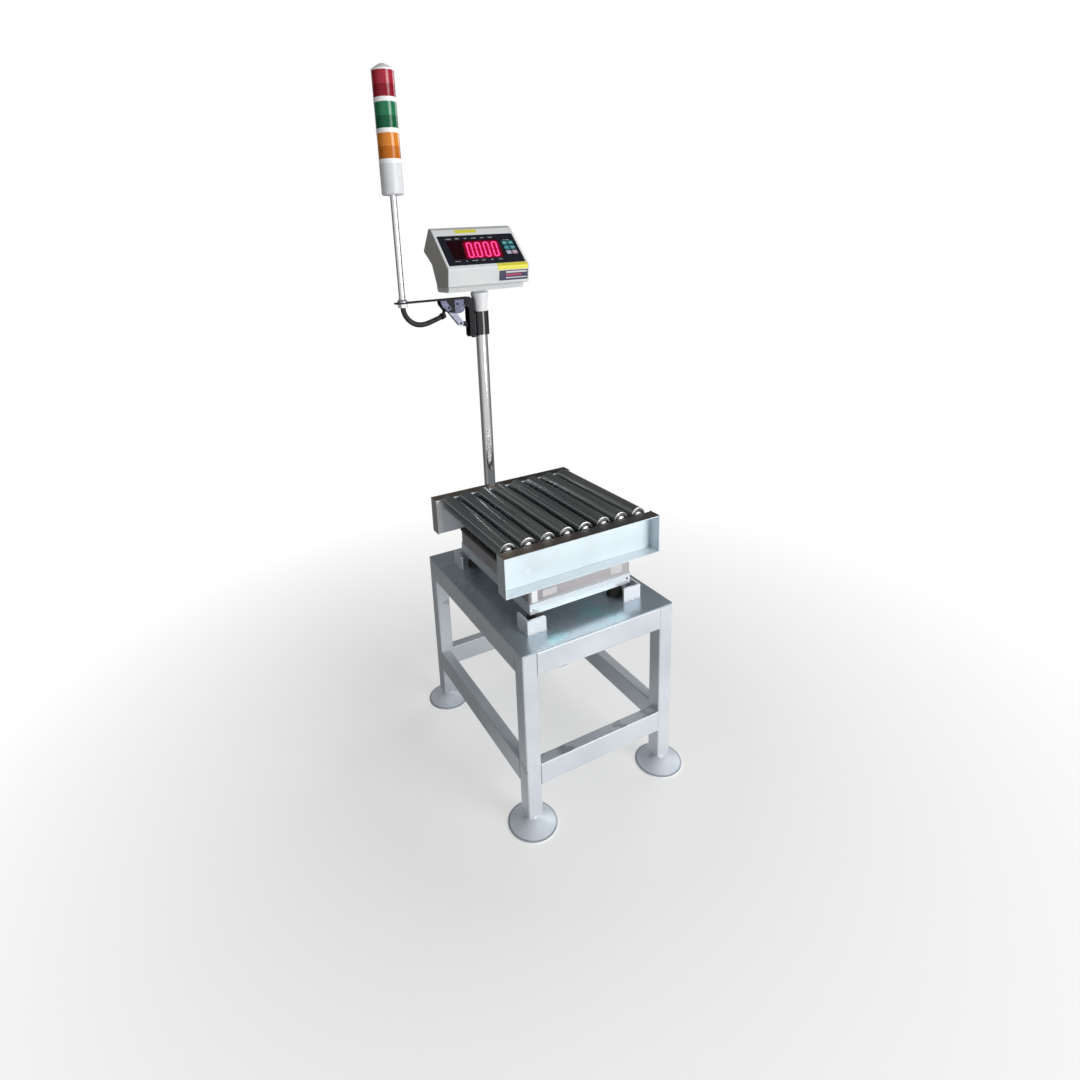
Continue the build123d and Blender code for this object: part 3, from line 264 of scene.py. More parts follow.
# Dirt that lies on top of the front stretcher
stretcher_low, stretcher_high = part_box("stretchers")
stain = (paint.axis("Z").over(stretcher_high.z - 0.001, stretcher_high.z - 0.0004)
         * (1 - paint.axis("Z").over(stretcher_high.z + 0.001, stretcher_high.z + 0.002))
         * (1 - paint.axis("Y").over(stretcher_low.y + 0.04, stretcher_low.y + 0.05))
         * paint.noise(38, 4, (0.6, 1, 1)).over(0.52, 0.60))
shade = paint.mix(bloom, (0.545, 0.585, 0.625), (0.605, 0.64, 0.675))
shade = paint.mix(speck * 0.35, shade, (0.80, 0.82, 0.85))
shade = paint.mix((scuff * 0.5).at_least(stain * 0.55), shade, (0.17, 0.19, 0.23))
# Painted light: the cleats, above the plate, are coloured lighter than the rest of the same paint.
cleat_painted_light = paint.axis("Z").over(plate_top + 0.0005, plate_top + 0.0015)
shade = paint.mix(cleat_painted_light * 0.6, shade, (0.86, 0.90, 0.94))
mist = paint.noise(900, 1)
put_on(
    paint.surface(
        Base_Color=shade,
        Metallic=0.35,
        Roughness=0.36 + 0.16 * bloom + 0.1 * mist,
        Normal=paint.bump(mist + 3.0 * paint.noise(60, 2), 0.00012),
    ),
    "stand_legs", "apron_rails", "stretchers", "corner_cleats",
)
# The plate's own silver-grey spray, coloured darker and bluer as painted reflection of a dark room.
plate_paint = Finish("plate_paint")
bloom = plate_paint.noise(3.4, 3).over(0.38, 0.66)
speck = plate_paint.noise(300, 1).over(0.68, 0.74)
wiped = plate_paint.noise(9, 4, (0.25, 1, 1)).over(0.56, 0.7)
# Painted sheen: light teal patches near the plate's front edge, where it reflects bright light.
painted_sheen = plate_paint.near((0.03, -0.235, plate_top), 0.015, 0.075).at_least(
    plate_paint.near((-0.111, -0.272, plate_top), 0.008, 0.045))
rubbed = plate_paint.near((-0.162, 0.132, plate_top), 0.004, 0.018).at_least(
    plate_paint.near((-0.164, -0.045, plate_top), 0.003, 0.03))
rubbed = rubbed * plate_paint.noise(70, 3, (1, 0.4, 1)).over(0.5, 0.62)
shade = plate_paint.mix(bloom, (0.40, 0.47, 0.54), (0.47, 0.55, 0.60))
shade = plate_paint.mix(wiped * 0.2, shade, (0.50, 0.55, 0.60))
shade = plate_paint.mix(painted_sheen * plate_paint.noise(22, 2).over(0.3, 0.6), shade, (0.34, 0.60, 0.64))
shade = plate_paint.mix((speck * 0.5).at_least(rubbed * 0.6), shade, (0.66, 0.69, 0.71))
put_on(
    plate_paint.surface(
        Base_Color=shade,
        Metallic=0.55,
        Roughness=0.24 + 0.04 * wiped + 0.05 * bloom,
        Normal=plate_paint.bump(plate_paint.noise(700, 1), 0.00003),
    ),
    "top_plate",
)


# Weld beads: overlapping drops laid along every joint of the stand that isn't ground flat,
# inside and under the rails, painted over. The cleats' feet have coarser, brighter ones.
def mesh_of(name, corners, faces, edges=()):
    """An object with its place in its mesh."""
    made = bpy.data.objects.new(name, bpy.data.meshes.new(name))
    made.data.from_pydata([tuple(c) for c in corners], list(edges), faces)
    bpy.context.collection.objects.link(made)
    return made


class Growth(Net):
    """A Geometry Nodes tree with named inputs that ends in plain geometry and one material."""

    def __init__(self, name, inputs):
        super().__init__(bpy.data.node_groups.new(name, "GeometryNodeTree"))
        face = self.tree.interface
        face.new_socket("Geometry", in_out="INPUT", socket_type="NodeSocketGeometry")
        self.keys = {}
        for label, kind in inputs:
            made = face.new_socket(label, in_out="INPUT", socket_type="NodeSocket" + kind)
            self.keys[label] = made.identifier
        face.new_socket("Geometry", in_out="OUTPUT", socket_type="NodeSocketGeometry")
        self.start = self.tree.nodes.new("NodeGroupInput")

    def given(self, label):
        return Wire(self, self.start.outputs[label])

    def close(self, geometry):
        real = self.add("GeometryNodeRealizeInstances", {}, {0: geometry})
        done = self.add("GeometryNodeSetMaterial", {}, {
            "Geometry": real, "Material": self.given("Material")})
        self.add("NodeGroupOutput", {}, {0: done})

    def grow(self, name, seed_object, **values):
        """Runs the tree on an object and returns the result as a plain mesh."""
        modifier = seed_object.modifiers.new("growth", "NODES")
        modifier.node_group = self.tree
        for label, value in values.items():
            modifier[self.keys[label]] = value
        bpy.context.view_layer.update()
        evaluated = seed_object.evaluated_get(bpy.context.evaluated_depsgraph_get())
        mesh = bpy.data.meshes.new_from_object(evaluated)
        bpy.data.objects.remove(seed_object)
        mesh.name = name
        made = bpy.data.objects.new(name, mesh)
        bpy.context.collection.objects.link(made)
        return made


weld = Growth("weld", [("Spacing", "Float"), ("Radius", "Float"), ("Material", "Material")])
seam_line = weld.add("GeometryNodeMeshToCurve", {}, {0: weld.given("Geometry")})
track = weld.add("GeometryNodeResampleCurve", {"mode": "LENGTH"}, {
    "Curve": seam_line, "Length": weld.given("Spacing")})
drop = weld.add("GeometryNodeMeshUVSphere", {}, {"Segments": 7, "Rings": 4, "Radius": weld.given("Radius")})
turn = weld.add("FunctionNodeAlignRotationToVector", {"axis": "Z"}, {
    "Vector": weld.add("GeometryNodeInputTangent")})
swell = weld.add("FunctionNodeRandomValue", {"data_type": "FLOAT"}, {"Min": 0.7, "Max": 1.25, "Seed": 4},
                 out=1)
weld.close(weld.add("GeometryNodeInstanceOnPoints", {}, {
    "Points": track, "Instance": drop, "Rotation": turn, "Scale": swell}))


def lay_welds(name, seams, spacing, radius, material):
    """Beads along straight seams, riding on the stand."""
    ends = [end for seam in seams for end in seam]
    lines = mesh_of(name + "_lines", ends, [], [(i, i + 1) for i in range(0, len(ends), 2)])
    beads = weld.grow(name, lines, Spacing=spacing, Radius=radius, Material=material)
    for face in beads.data.polygons:
        face.use_smooth = True
    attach(beads, "stand")


low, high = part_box("stand_legs")
LEG, RAIL_DEPTH, INSET = 0.040, 0.030, 0.004
seams = []
for node in ("apron_rails", "stretchers"):
    bottom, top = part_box(node)[0].z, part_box(node)[1].z
    for sx in (-1, 1):
        for sy in (-1, 1):
            corner_x, corner_y = sx * (high.x - LEG), sy * (high.y - LEG)
            inner_x, inner_y = sx * (high.x - RAIL_DEPTH), sy * (high.y - RAIL_DEPTH)
            seams += [
                [(corner_x, inner_y, bottom + INSET), (corner_x, inner_y, top - INSET)],
                [(inner_x, corner_y, bottom + INSET), (inner_x, corner_y, top - INSET)],
                [(corner_x, sy * (high.y - INSET), bottom), (corner_x, inner_y, bottom)],
                [(sx * (high.x - INSET), corner_y, bottom), (inner_x, corner_y, bottom)],
            ]
lay_welds("frame_welds", seams, spacing=0.0024, radius=0.0017, material=paint.material)
fresh = Finish("fresh_weld")
fresh.surface(
    Base_Color=fresh.mix(fresh.noise(300, 2), (0.62, 0.66, 0.71), (0.86, 0.88, 0.90)),
    Metallic=0.4,
    Roughness=0.3 + 0.1 * fresh.noise(500, 1),
)
low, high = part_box("corner_cleats")
BEADS_ACROSS = (0.002, 0.014), (0.021, 0.027), (0.035, 0.052)       # from each cleat's corner
BEADS_ALONG = (0.002, 0.010), (0.030, 0.046)
seams = []
for x, sx in ((low.x, 1), (high.x, -1)):
    for y, sy in ((low.y, 1), (high.y, -1)):
        for start, end in BEADS_ACROSS:
            seams.append([(x + sx * start, y, plate_top), (x + sx * end, y, plate_top)])
        for start, end in BEADS_ALONG:
            seams.append([(x, y + sy * start, plate_top), (x, y + sy * end, plate_top)])
lay_welds("cleat_welds", seams, spacing=0.0029, radius=0.0022, material=fresh.material)

# Levelling feet: pressed and turned steel dishes, with a painted highlight along the rim and painted
# shade in a groove above it, on M12 studs that are held in the legs' plugs by bright zinc-plated lock nuts.
dish = Finish("foot_steel")
rings = dish.noise(60, 2, (1, 1, 14))
dust = dish.noise(26, 3).over(0.5, 0.72)
low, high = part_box("foot_front_left")
height = dish.axis("Z") - low.z
RIM, GROOVE = (0.0026, 0.0032), (0.0034, 0.0044)        # heights above the floor
# Painted highlight on the rim's low band, and painted shade in the groove above it.
rim_highlight, groove_shade = 1 - height.over(*RIM), height.within(*GROOVE)
shade = dish.mix(dust, (0.74, 0.80, 0.87), (0.82, 0.87, 0.92))
shade = dish.mix(groove_shade * 0.6, shade, (0.16, 0.17, 0.19))
put_on(
    dish.surface(
        Base_Color=dish.mix(rim_highlight, shade, (0.93, 0.95, 0.97)),
        Metallic=0.1,
        Roughness=0.32 + 0.2 * dust,
        Normal=dish.bump(rings, 0.0002),
    ),
    *[f"foot_{corner}" for corner in ("front_left", "front_right", "back_left", "back_right")],
)
zinc = Finish("bright_zinc")
put_on(
    zinc.surface(
        Base_Color=zinc.mix(zinc.noise(90, 3).over(0.4, 0.65), (0.66, 0.67, 0.70), (0.52, 0.54, 0.58)),
        Metallic=1.0,
        Roughness=0.24 + 0.15 * zinc.noise(300, 2),
    ),
    "foot_lock_nuts", "tilt_pin",
)
plug = Finish("plug_moulding")
put_on(
    plug.surface(
        Base_Color=plug.mix(plug.noise(80, 2), (0.02, 0.02, 0.022), (0.045, 0.045, 0.048)),
        Roughness=0.5 + 0.2 * plug.noise(200, 1),
    ),
    "leg_end_plugs",
)

# Weighing platform: a pressed base frame on rubber feet, a load cell and a spider inside,
# and a loose stainless lid over it, brushed along the deck and dull where hands have been.
rubber = Finish("foot_rubber")
put_on(
    rubber.surface(
        Base_Color=rubber.mix(rubber.noise(50, 3).over(0.45, 0.7), (0.015, 0.015, 0.016),
                              (0.05, 0.048, 0.045)),
        Roughness=0.7 + 0.15 * rubber.noise(400, 1),
        Normal=rubber.bump(rubber.noise(500, 1), 0.00015),
    ),
    "scale_feet", "platter_pads",
)
EDGE_HIGHLIGHT = (0.0012, 0.0020)         # painted highlight along the sheet's bottom edge, as heights above its lowest point
bright = Finish("base_steel")
grain = bright.noise(40, 2, (1, 1, 24))
low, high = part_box("scale_base")
# Painted highlight: a bright band along the base's bottom edge, as if it caught the light.
edge = 1 - bright.axis("Z").over(low.z + EDGE_HIGHLIGHT[0], low.z + EDGE_HIGHLIGHT[1])
shade = bright.mix(grain.over(0.3, 0.7), (0.74, 0.80, 0.84), (0.84, 0.89, 0.92))
put_on(
    bright.surface(
        Base_Color=bright.mix(edge, shade, (0.92, 0.94, 0.95)),
        Metallic=0.8,
        Roughness=0.26 + 0.12 * grain,
        Normal=bright.bump(grain, 0.00006),
    ),
    "scale_base", "column_bracket",
)
lid = Finish("lid_steel")
grain = lid.noise(30, 2, (1, 1, 30))
haze = lid.noise(6, 3).over(0.42, 0.68)
low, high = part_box("platter")
CORNER_GLINT = (-0.142, -0.129)     # painted reflection: a bright strip beside the lid's front left corner
# Painted highlight: a bright band along the lid's bottom edge.
hem_highlight = 1 - lid.axis("Z").over(low.z + EDGE_HIGHLIGHT[0], low.z + EDGE_HIGHLIGHT[1])
front = 1 - lid.axis("Y").over(low.y + 0.002, low.y + 0.006)
# Painted reflection on the lid's front, beside its left corner.
painted_glint = lid.axis("X").within(*CORNER_GLINT, edge=0.003) * front
shade = lid.mix(haze, (0.345, 0.325, 0.34), (0.45, 0.43, 0.44))
shade = lid.mix(painted_glint * 0.85, shade, (0.90, 0.92, 0.94))
put_on(
    lid.surface(
        Base_Color=lid.mix(hem_highlight, shade, (0.74, 0.76, 0.78)),
        Metallic=0.65,
        Roughness=0.34 + 0.1 * grain + 0.08 * haze,
        Normal=lid.bump(grain, 0.00006),
    ),
    "platter",
)
spider = Finish("spider_coat")
put_on(
    spider.surface(
        Base_Color=spider.mix(spider.noise(20, 3), (0.10, 0.105, 0.11), (0.15, 0.155, 0.16)),
        Roughness=0.5 + 0.1 * spider.noise(300, 1),
        Normal=spider.bump(spider.noise(600, 1), 0.0001),
    ),
    "spider_frame",
)
cell = Finish("cell_aluminium")
grain = cell.noise(60, 2, (1, 12, 1))
put_on(
    cell.surface(
        Base_Color=cell.mix(grain, (0.68, 0.69, 0.71), (0.78, 0.79, 0.81)),
        Metallic=1.0,
        Roughness=0.28 + 0.1 * grain,
    ),
    "load_cell",
)


# Lid labels: two small pieces of plain paper, stuck on the lid's front near its left and right
# ends. They have faded and caught a little dirt.
def outward(made):
    """Turns a closed mesh's faces outwards."""
    shaped = bmesh.new()
    shaped.from_mesh(made.data)
    bmesh.ops.recalc_face_normals(shaped, faces=shaped.faces)
    shaped.to_mesh(made.data)
    return made


def slab(name, outline, thick, to_world, body, material):
    """A thin plate from a flat outline, put in place by to_world(x, y, lift)."""
    count = len(outline)
    corners = [to_world(x, y, 0) for x, y in outline] + [to_world(x, y, thick) for x, y in outline]
    faces = [tuple(range(count)), tuple(range(count, 2 * count))]
    faces += [(i, (i + 1) % count, (i + 1) % count + count, i + count) for i in range(count)]
    made = outward(mesh_of(name, corners, faces))
    made.data.materials.append(material)
    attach(made, body)


def round_box(x0, x1, y0, y1, radius):
    """Outline of a rectangle with rounded corners."""
    steps = 4
    outline = []
    for cx, cy, quarter in ((x1 - radius, y1 - radius, 0), (x0 + radius, y1 - radius, 1),
                            (x0 + radius, y0 + radius, 2), (x1 - radius, y0 + radius, 3)):
        for step in range(steps + 1):
            angle = (quarter + step / steps) * pi / 2
            outline.append((cx + radius * cos(angle), cy + radius * sin(angle)))
    return outline


LID_LABELS = ((-0.1125, -0.0723, 0.572, 0.5896), (0.0887, 0.1233, 0.572, 0.593))    # x, x, z, z
LABEL_CORNER, LABEL_THICK = 0.0015, 0.0002
label_paper = Finish("label_paper")
label_paper.surface(
    Base_Color=label_paper.mix(label_paper.noise(120, 3).over(0.45, 0.7), (0.58, 0.57, 0.575),
                               (0.48, 0.47, 0.47)),
    Roughness=0.5 + 0.1 * label_paper.noise(500, 1),
    Normal=label_paper.bump(label_paper.noise(150, 2), 0.0003),
)
low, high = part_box("platter")
for number, sides in enumerate(LID_LABELS, start=1):
    slab(f"lid_label_{number}", round_box(*sides, LABEL_CORNER), LABEL_THICK,
         lambda x, z, lift: (x, low.y - lift, z), "platter_lid", label_paper.material)

# Screws of the base frame: zinc-plated, with pan heads, turned into the two holes in its front.
# Only the left one is in, and the right hole is empty.
SCREW_HEAD = [      # radius, height above the sheet
    (0.0, 0.0026), (0.0016, 0.0025), (0.0032, 0.0019), (0.0040, 0.0008), (0.0042, 0.0), (0.0028, -0.0012)]
low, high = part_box("scale_base")
screw_place = next(m for m in frame["record"]["mounts"] if m["name"] == "base_front_screws")
screw_x, screw_z = -screw_place["dims"]["spacing_x_mm"] / 1000 / 2, screw_place["pos_m"][2]
SIDES = 20
corners = [(screw_x, low.y - SCREW_HEAD[0][1], screw_z)]
for radius, lift in SCREW_HEAD[1:]:
    for i in range(SIDES):
        angle = 2 * pi * i / SIDES
        corners.append((screw_x + radius * cos(angle), low.y - lift, screw_z + radius * sin(angle)))
faces = [(0, 1 + i, 1 + (i + 1) % SIDES) for i in range(SIDES)]
for ring in range(len(SCREW_HEAD) - 2):
    start = 1 + ring * SIDES
    faces += [(start + i, start + SIDES + i, start + SIDES + (i + 1) % SIDES, start + (i + 1) % SIDES)
              for i in range(SIDES)]
faces.append(tuple(range(len(corners) - SIDES, len(corners))))
screw = outward(mesh_of("base_screw", corners, faces))
screw.data.materials.append(zinc.material)
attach(screw, "scale")

# Column: a drawn steel tube with polished chrome on it and fine lines along it. It stands in its
# bracket's socket behind the scale, held by a clamp screw.
chrome = Finish("column_chrome")
drawn = chrome.noise(90, 2, (9, 9, 0.15))
put_on(
    chrome.surface(
        Base_Color=chrome.mix(drawn.over(0.35, 0.7), (0.62, 0.61, 0.61), (0.74, 0.73, 0.73)),
        Metallic=1.0,
        Roughness=0.07 + 0.04 * drawn,
        Normal=chrome.bump(drawn, 0.00001),
    ),
    "column",
)

# Roller deck: two folded sheet channels with bright, slightly wavy zinc-plated faces and flange tops
# coloured brown to near black as painted reflection, black crossbars under them whose black also stands
# for the shadow under the rollers, notched axle strips inside, and eight chromed rollers with
# pressed steel caps that turn on their axles.
sheet = Finish("deck_sheet")
cloud = sheet.noise(4.5, 2).over(0.35, 0.7)
fine = sheet.noise(55, 2, (0.6, 1, 16))
low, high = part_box("channel_front")
x, y, z = (sheet.axis(letter) for letter in "XYZ")
WEB_BACK, SHEET, TAB = 0.194, 0.003, 0.017      # the web's inner face, a little over the sheet, end tabs
flange_top = z.over(high.z - 0.0006, high.z - 0.0002)
# A dark line where the web meets the bottom flange: partly painted shade in the fold, partly dirt.
joint = z.within(low.z + SHEET - 0.0002, low.z + SHEET + 0.0010, 0.0004) * (
    1 - y.over(-WEB_BACK - 0.0042, -WEB_BACK - 0.0036))
ragged = abs(x) + (sheet.noise(160, 2) - 0.5) * 0.003
tab_edge = ragged.within(high.x - TAB - 0.0012, high.x - TAB + 0.0004)
end_face = abs(x).over(high.x - 0.0006, high.x - 0.0002)
shade = sheet.mix(cloud, (0.58, 0.655, 0.70), (0.70, 0.80, 0.855))
shade = sheet.mix(joint * 0.55, shade, (0.10, 0.12, 0.14))
shade = sheet.mix(tab_edge * 0.45 * y.over(-0.1, -0.05), shade, (0.16, 0.15, 0.15))
# Scratches and small dents in the front face
marks = (
    sheet.scratch((-0.148, 0.641), (-0.140, 0.652), 0.0006)
    .at_least(sheet.scratch((-0.151, 0.6435), (-0.1435, 0.6505), 0.0005))
    .at_least(sheet.scratch((-0.140, 0.6405), (-0.137, 0.643), 0.0006))
)
for place, reach in (((-0.023, 0.690), 0.0008), ((-0.012, 0.691), 0.0007), ((-0.003, 0.690), 0.0009),
                     ((-0.189, 0.696), 0.0012), ((0.157, 0.605), 0.001), ((0.092, 0.655), 0.0009)):
    marks = marks.at_least(sheet.near((place[0], -WEB_BACK - SHEET, place[1]), reach, reach * 2))
shade = sheet.mix(marks, shade, (0.97, 0.98, 0.99))
# Painted highlight: a bright strip on the bottom flange's top, in front of the web.
lip_painted_highlight = z.within(low.z + SHEET - 0.0004, low.z + SHEET + 0.0004, 0.0003) * (
    1 - y.over(-WEB_BACK - 0.006, -WEB_BACK - 0.005))
shade = sheet.mix(lip_painted_highlight, shade, (0.95, 0.98, 1.0))
# Painted light: the back channel is coloured lighter than the front one, and its end tab brighter still.
back_painted_light = y.over(0.1, 0.15)
tab_painted_highlight = back_painted_light * abs(x).over(high.x - TAB, high.x - TAB + 0.001)
shade = sheet.mix(back_painted_light, shade, (0.86, 0.91, 0.96))
shade = sheet.mix(tab_painted_highlight * sheet.noise(160, 2).over(0.35, 0.5), shade, (1.0, 1.0, 1.0))
# Painted shade: the channels' end faces are coloured mid grey, darker still on the back channel.
end_painted_shade = sheet.mix(back_painted_light, (0.33, 0.345, 0.36), (0.27, 0.26, 0.25))
shade = sheet.mix(end_face * (0.6 + 0.3 * back_painted_light), shade, end_painted_shade)
# Painted reflection: the flange tops are coloured brown at the left to near black at the right.
flange_painted_reflection = sheet.mix(x.over(-0.23, 0.05), (0.23, 0.185, 0.15), (0.075, 0.07, 0.07))
put_on(
    sheet.surface(
        Base_Color=sheet.mix(flange_top, shade, flange_painted_reflection),
        Metallic=0.35 + 0.3 * flange_top,
        Roughness=0.36 + 0.10 * fine + 0.08 * cloud,
        Normal=sheet.bump(fine + 5.0 * sheet.noise(9, 1), 0.00008),
    ),
    "channel_front", "channel_back",
)
# The crossbars are coloured near black, which also stands for the shadow that falls under the rollers.
bar = Finish("bar_black")
put_on(
    bar.surface(
        Base_Color=bar.mix(bar.noise(50, 3), (0.012, 0.012, 0.014), (0.035, 0.035, 0.038)),
        Roughness=0.42 + 0.15 * bar.noise(200, 2),
    ),
    "deck_crossbars",
)
strip = Finish("strip_steel")
put_on(
    strip.surface(
        Base_Color=strip.mix(strip.noise(20, 3), (0.30, 0.31, 0.33), (0.46, 0.48, 0.50)),
        Metallic=0.9,
        Roughness=0.3 + 0.15 * strip.noise(120, 2),
    ),
    "axle_strips", "roller_axles",
)
roller = Finish("roller_chrome")
smear = roller.noise(8, 3, (1, 0.25, 1)).over(0.42, 0.66)
low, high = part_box("roller_1")
TUBE_END, middle, half = 0.0052, (low.y + high.y) / 2, (high.y - low.y) / 2
cap = abs(roller.axis("Y") - middle).over(half - TUBE_END, half - TUBE_END + 0.0002)
shade = roller.mix(smear, (0.25, 0.27, 0.28), (0.36, 0.375, 0.38))
pressed = roller.mix(roller.noise(110, 3).over(0.4, 0.62), (0.62, 0.62, 0.61), (0.32, 0.32, 0.32))
put_on(
    roller.surface(
        Base_Color=roller.mix(cap, shade, pressed),
        Metallic=1.0,
        Roughness=0.24 + 0.08 * smear + 0.12 * cap,
    ),
    *[f"roller_{i}" for i in range(1, 9)],
)

# Indicator: two light grey mouldings with a fine spark texture, screwed together on a neck that
# tilts on a pin, and a dark printed film with a tinted window over red digits. The mouldings carry
# painted shade on the left side and painted light on the slope and the neck, and the window a
# painted red glow round the digits.
SLOPE = radians(45)
up_slope = Vector((0, cos(SLOPE), sin(SLOPE)))
out_of_face = Vector((0, -sin(SLOPE), cos(SLOPE)))
low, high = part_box("indicator_faceplate")
FILM_THICK = 0.0015
plate_middle = (low + high) / 2 + out_of_face * FILM_THICK / 2
shell_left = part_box("indicator_front_shell")[0].x
shell_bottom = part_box("indicator_rear_shell")[0].z
moulding = Finish("housing_moulding")
spark = moulding.noise(1500, 1)
yellowed = moulding.noise(9, 3).over(0.4, 0.7)
# Painted shade: the housing's left side is coloured dark grey-brown.
left_side_painted_shade = 1 - moulding.axis("X").over(shell_left + 0.0006, shell_left + 0.0012)
# Painted light: the neck is coloured lighter than the shells, against the housing's shadow on it.
neck_painted_light = 1 - moulding.axis("Z").over(shell_bottom - 0.005, shell_bottom - 0.001)
shade = moulding.mix(yellowed, (0.60, 0.62, 0.635), (0.645, 0.66, 0.66))
# Painted light: surfaces at and above the sloping face are coloured lighter than the sides and front.
painted_light_height = ((moulding.axis("Z") - plate_middle.z) * cos(SLOPE)
             - (moulding.axis("Y") - plate_middle.y) * sin(SLOPE))
shade = moulding.mix(painted_light_height.over(-0.002, -0.0005) * 0.7, shade, (0.84, 0.86, 0.87))
shade = moulding.mix(neck_painted_light, shade, (0.76, 0.77, 0.78))
put_on(
    moulding.surface(
        Base_Color=moulding.mix(left_side_painted_shade, shade, (0.37, 0.36, 0.34)),
        Roughness=0.42 + 0.12 * spark,
        Normal=moulding.bump(spark, 0.0001),
    ),
    "indicator_front_shell", "indicator_rear_shell", "indicator_neck",
)


def on_face(across, up, lift):
    """A place on the sloping front: across and up from the film's middle, lift above it."""
    return plate_middle + Vector((across, 0, 0)) + up_slope * up + out_of_face * lift


film = Finish("face_film")
put_on(
    film.surface(
        Base_Color=film.mix(film.noise(30, 2), (0.008, 0.009, 0.017), (0.015, 0.016, 0.027)),
        Roughness=0.24 + 0.06 * film.noise(700, 1),
        Coat_Weight=0.15,
        Coat_Roughness=0.1,
    ),
    "indicator_faceplate",
)
DIGIT_HIGH, DIGIT_WIDE, DIGIT_PITCH, DIGIT_STROKE = 0.057, 0.0173, 0.0260, 0.0040
DIGIT_LEAN = tan(radians(8))
DIGITS_MIDDLE, DIGITS_UP = 0.0035, -0.0015
glow_half = 1.5 * DIGIT_PITCH + DIGIT_WIDE / 2
tint = Finish("window_tint")
across = tint.axis("X")
up = (tint.axis("Z") - plate_middle.z) * cos(SLOPE) + (tint.axis("Y") - plate_middle.y) * sin(SLOPE)
side = abs(across - up * DIGIT_LEAN - DIGITS_MIDDLE)
tall = abs(up - DIGITS_UP)
# Painted glow: the window is coloured with dim red light round the digits, as if lit through from them.
painted_glow = (1 - side.over(glow_half - 0.002, glow_half + 0.011)) * (
    1 - tall.over(DIGIT_HIGH / 2 - 0.004, DIGIT_HIGH / 2 + 0.008))
put_on(
    tint.surface(
        Base_Color=tint.mix(tint.noise(60, 2), (0.010, 0.001, 0.002), (0.017, 0.001, 0.004)),
        Roughness=0.22 + 0.05 * tint.noise(500, 1),
        Specular_IOR_Level=0.25,
        Emission_Color=tint.mix(painted_glow, (0.001, 0.0, 0.0), (0.42, 0.001, 0.032)),
        Emission_Strength=1.0,
    ),
    "indicator_window",
)

# Digits: the bright seven-segment bars of the display, which shine through the window. All four
# are zeros, without their middle bar, and a small point stands between the first two.
lit_bar = Finish("digit_light")
flicker = abs(lit_bar.noise(300, 1) - 0.5)
lit_bar.surface(
    Base_Color=(0.5, 0.02, 0.12),
    Roughness=0.4 + 0.2 * lit_bar.noise(400, 1),
    Emission_Color=lit_bar.mix(flicker.over(0.0, 0.2), (1.0, 0.11, 0.42), (1.0, 0.05, 0.30)),
    Emission_Strength=1.0,
)
BAR_GAP, BAR_HALF = 0.0006, 0.0004          # between two bars' points, and half a bar's thickness
corners, faces = [], []


def lay_bar(x, y, length, upright):
    """One pointed segment from its middle."""
    half, tip = length / 2, DIGIT_STROKE / 2
    flat = [(-half, 0), (-half + tip, tip), (half - tip, tip),
            (half, 0), (half - tip, -tip), (-half + tip, -tip)]
    if upright:
        flat = [(-b, a) for a, b in flat]
    start = len(corners)
    for lift in (-BAR_HALF, BAR_HALF):
        for a, b in flat:
            corners.append(on_face(x + a + (y + b) * DIGIT_LEAN, y + b + DIGITS_UP, lift))
    faces.append(tuple(reversed(range(start, start + 6))))
    faces.append(tuple(range(start + 6, start + 12)))
    for i in range(6):
        j = (i + 1) % 6
        faces.append((start + i, start + j, start + j + 6, start + i + 6))


for digit in range(4):
    x = DIGITS_MIDDLE + (digit - 1.5) * DIGIT_PITCH
    inset = DIGIT_WIDE / 2 - DIGIT_STROKE / 2
    reach = DIGIT_HIGH / 2 - DIGIT_STROKE / 2
    for sign in (-1, 1):
        lay_bar(x, sign * reach, DIGIT_WIDE - DIGIT_STROKE - BAR_GAP, False)
        for half in (-1, 1):
            lay_bar(x + sign * inset, half * reach / 2, reach - BAR_GAP, True)
lay_bar(DIGITS_MIDDLE - DIGIT_PITCH, -DIGIT_HIGH / 2 + DIGIT_STROKE / 2, DIGIT_STROKE * 1.1, False)
digits = mesh_of("display_digits", corners, faces)
digits.data.materials.append(lit_bar.material)
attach(digits, "indicator")

# Keys: raised patches of the film in their own colours, which give way to a finger, and the small
# white screen print on them and on the film round them.
for colour_name, dark, pale, numbers in (
    ("key_teal", (0.03, 0.24, 0.28), (0.06, 0.34, 0.37), (1, 2, 3, 4)),
    ("key_lilac", (0.42, 0.42, 0.62), (0.52, 0.52, 0.70), (5,)),
    ("key_pink", (0.50, 0.32, 0.42), (0.60, 0.42, 0.50), (6,)),
):
    key = Finish(colour_name)
    put_on(
        key.surface(
            Base_Color=key.mix(key.noise(250, 2), dark, pale),
            Roughness=0.35 + 0.1 * key.noise(900, 1),
            Normal=key.bump(key.noise(900, 1), 0.00005),
        ),
        *[f"key_{number}" for number in numbers],
    )
ink = Finish("white_ink")
ink.surface(
    Base_Color=ink.mix(ink.noise(800, 1), (0.80, 0.82, 0.84), (0.92, 0.93, 0.94)),
    Roughness=0.5 + 0.1 * ink.noise(600, 1),
)


INK_THICK, LEGEND_SIZE, KEY_SIZE, KEY_PROUD = 0.00004, 0.0050, 0.0038, 0.0008


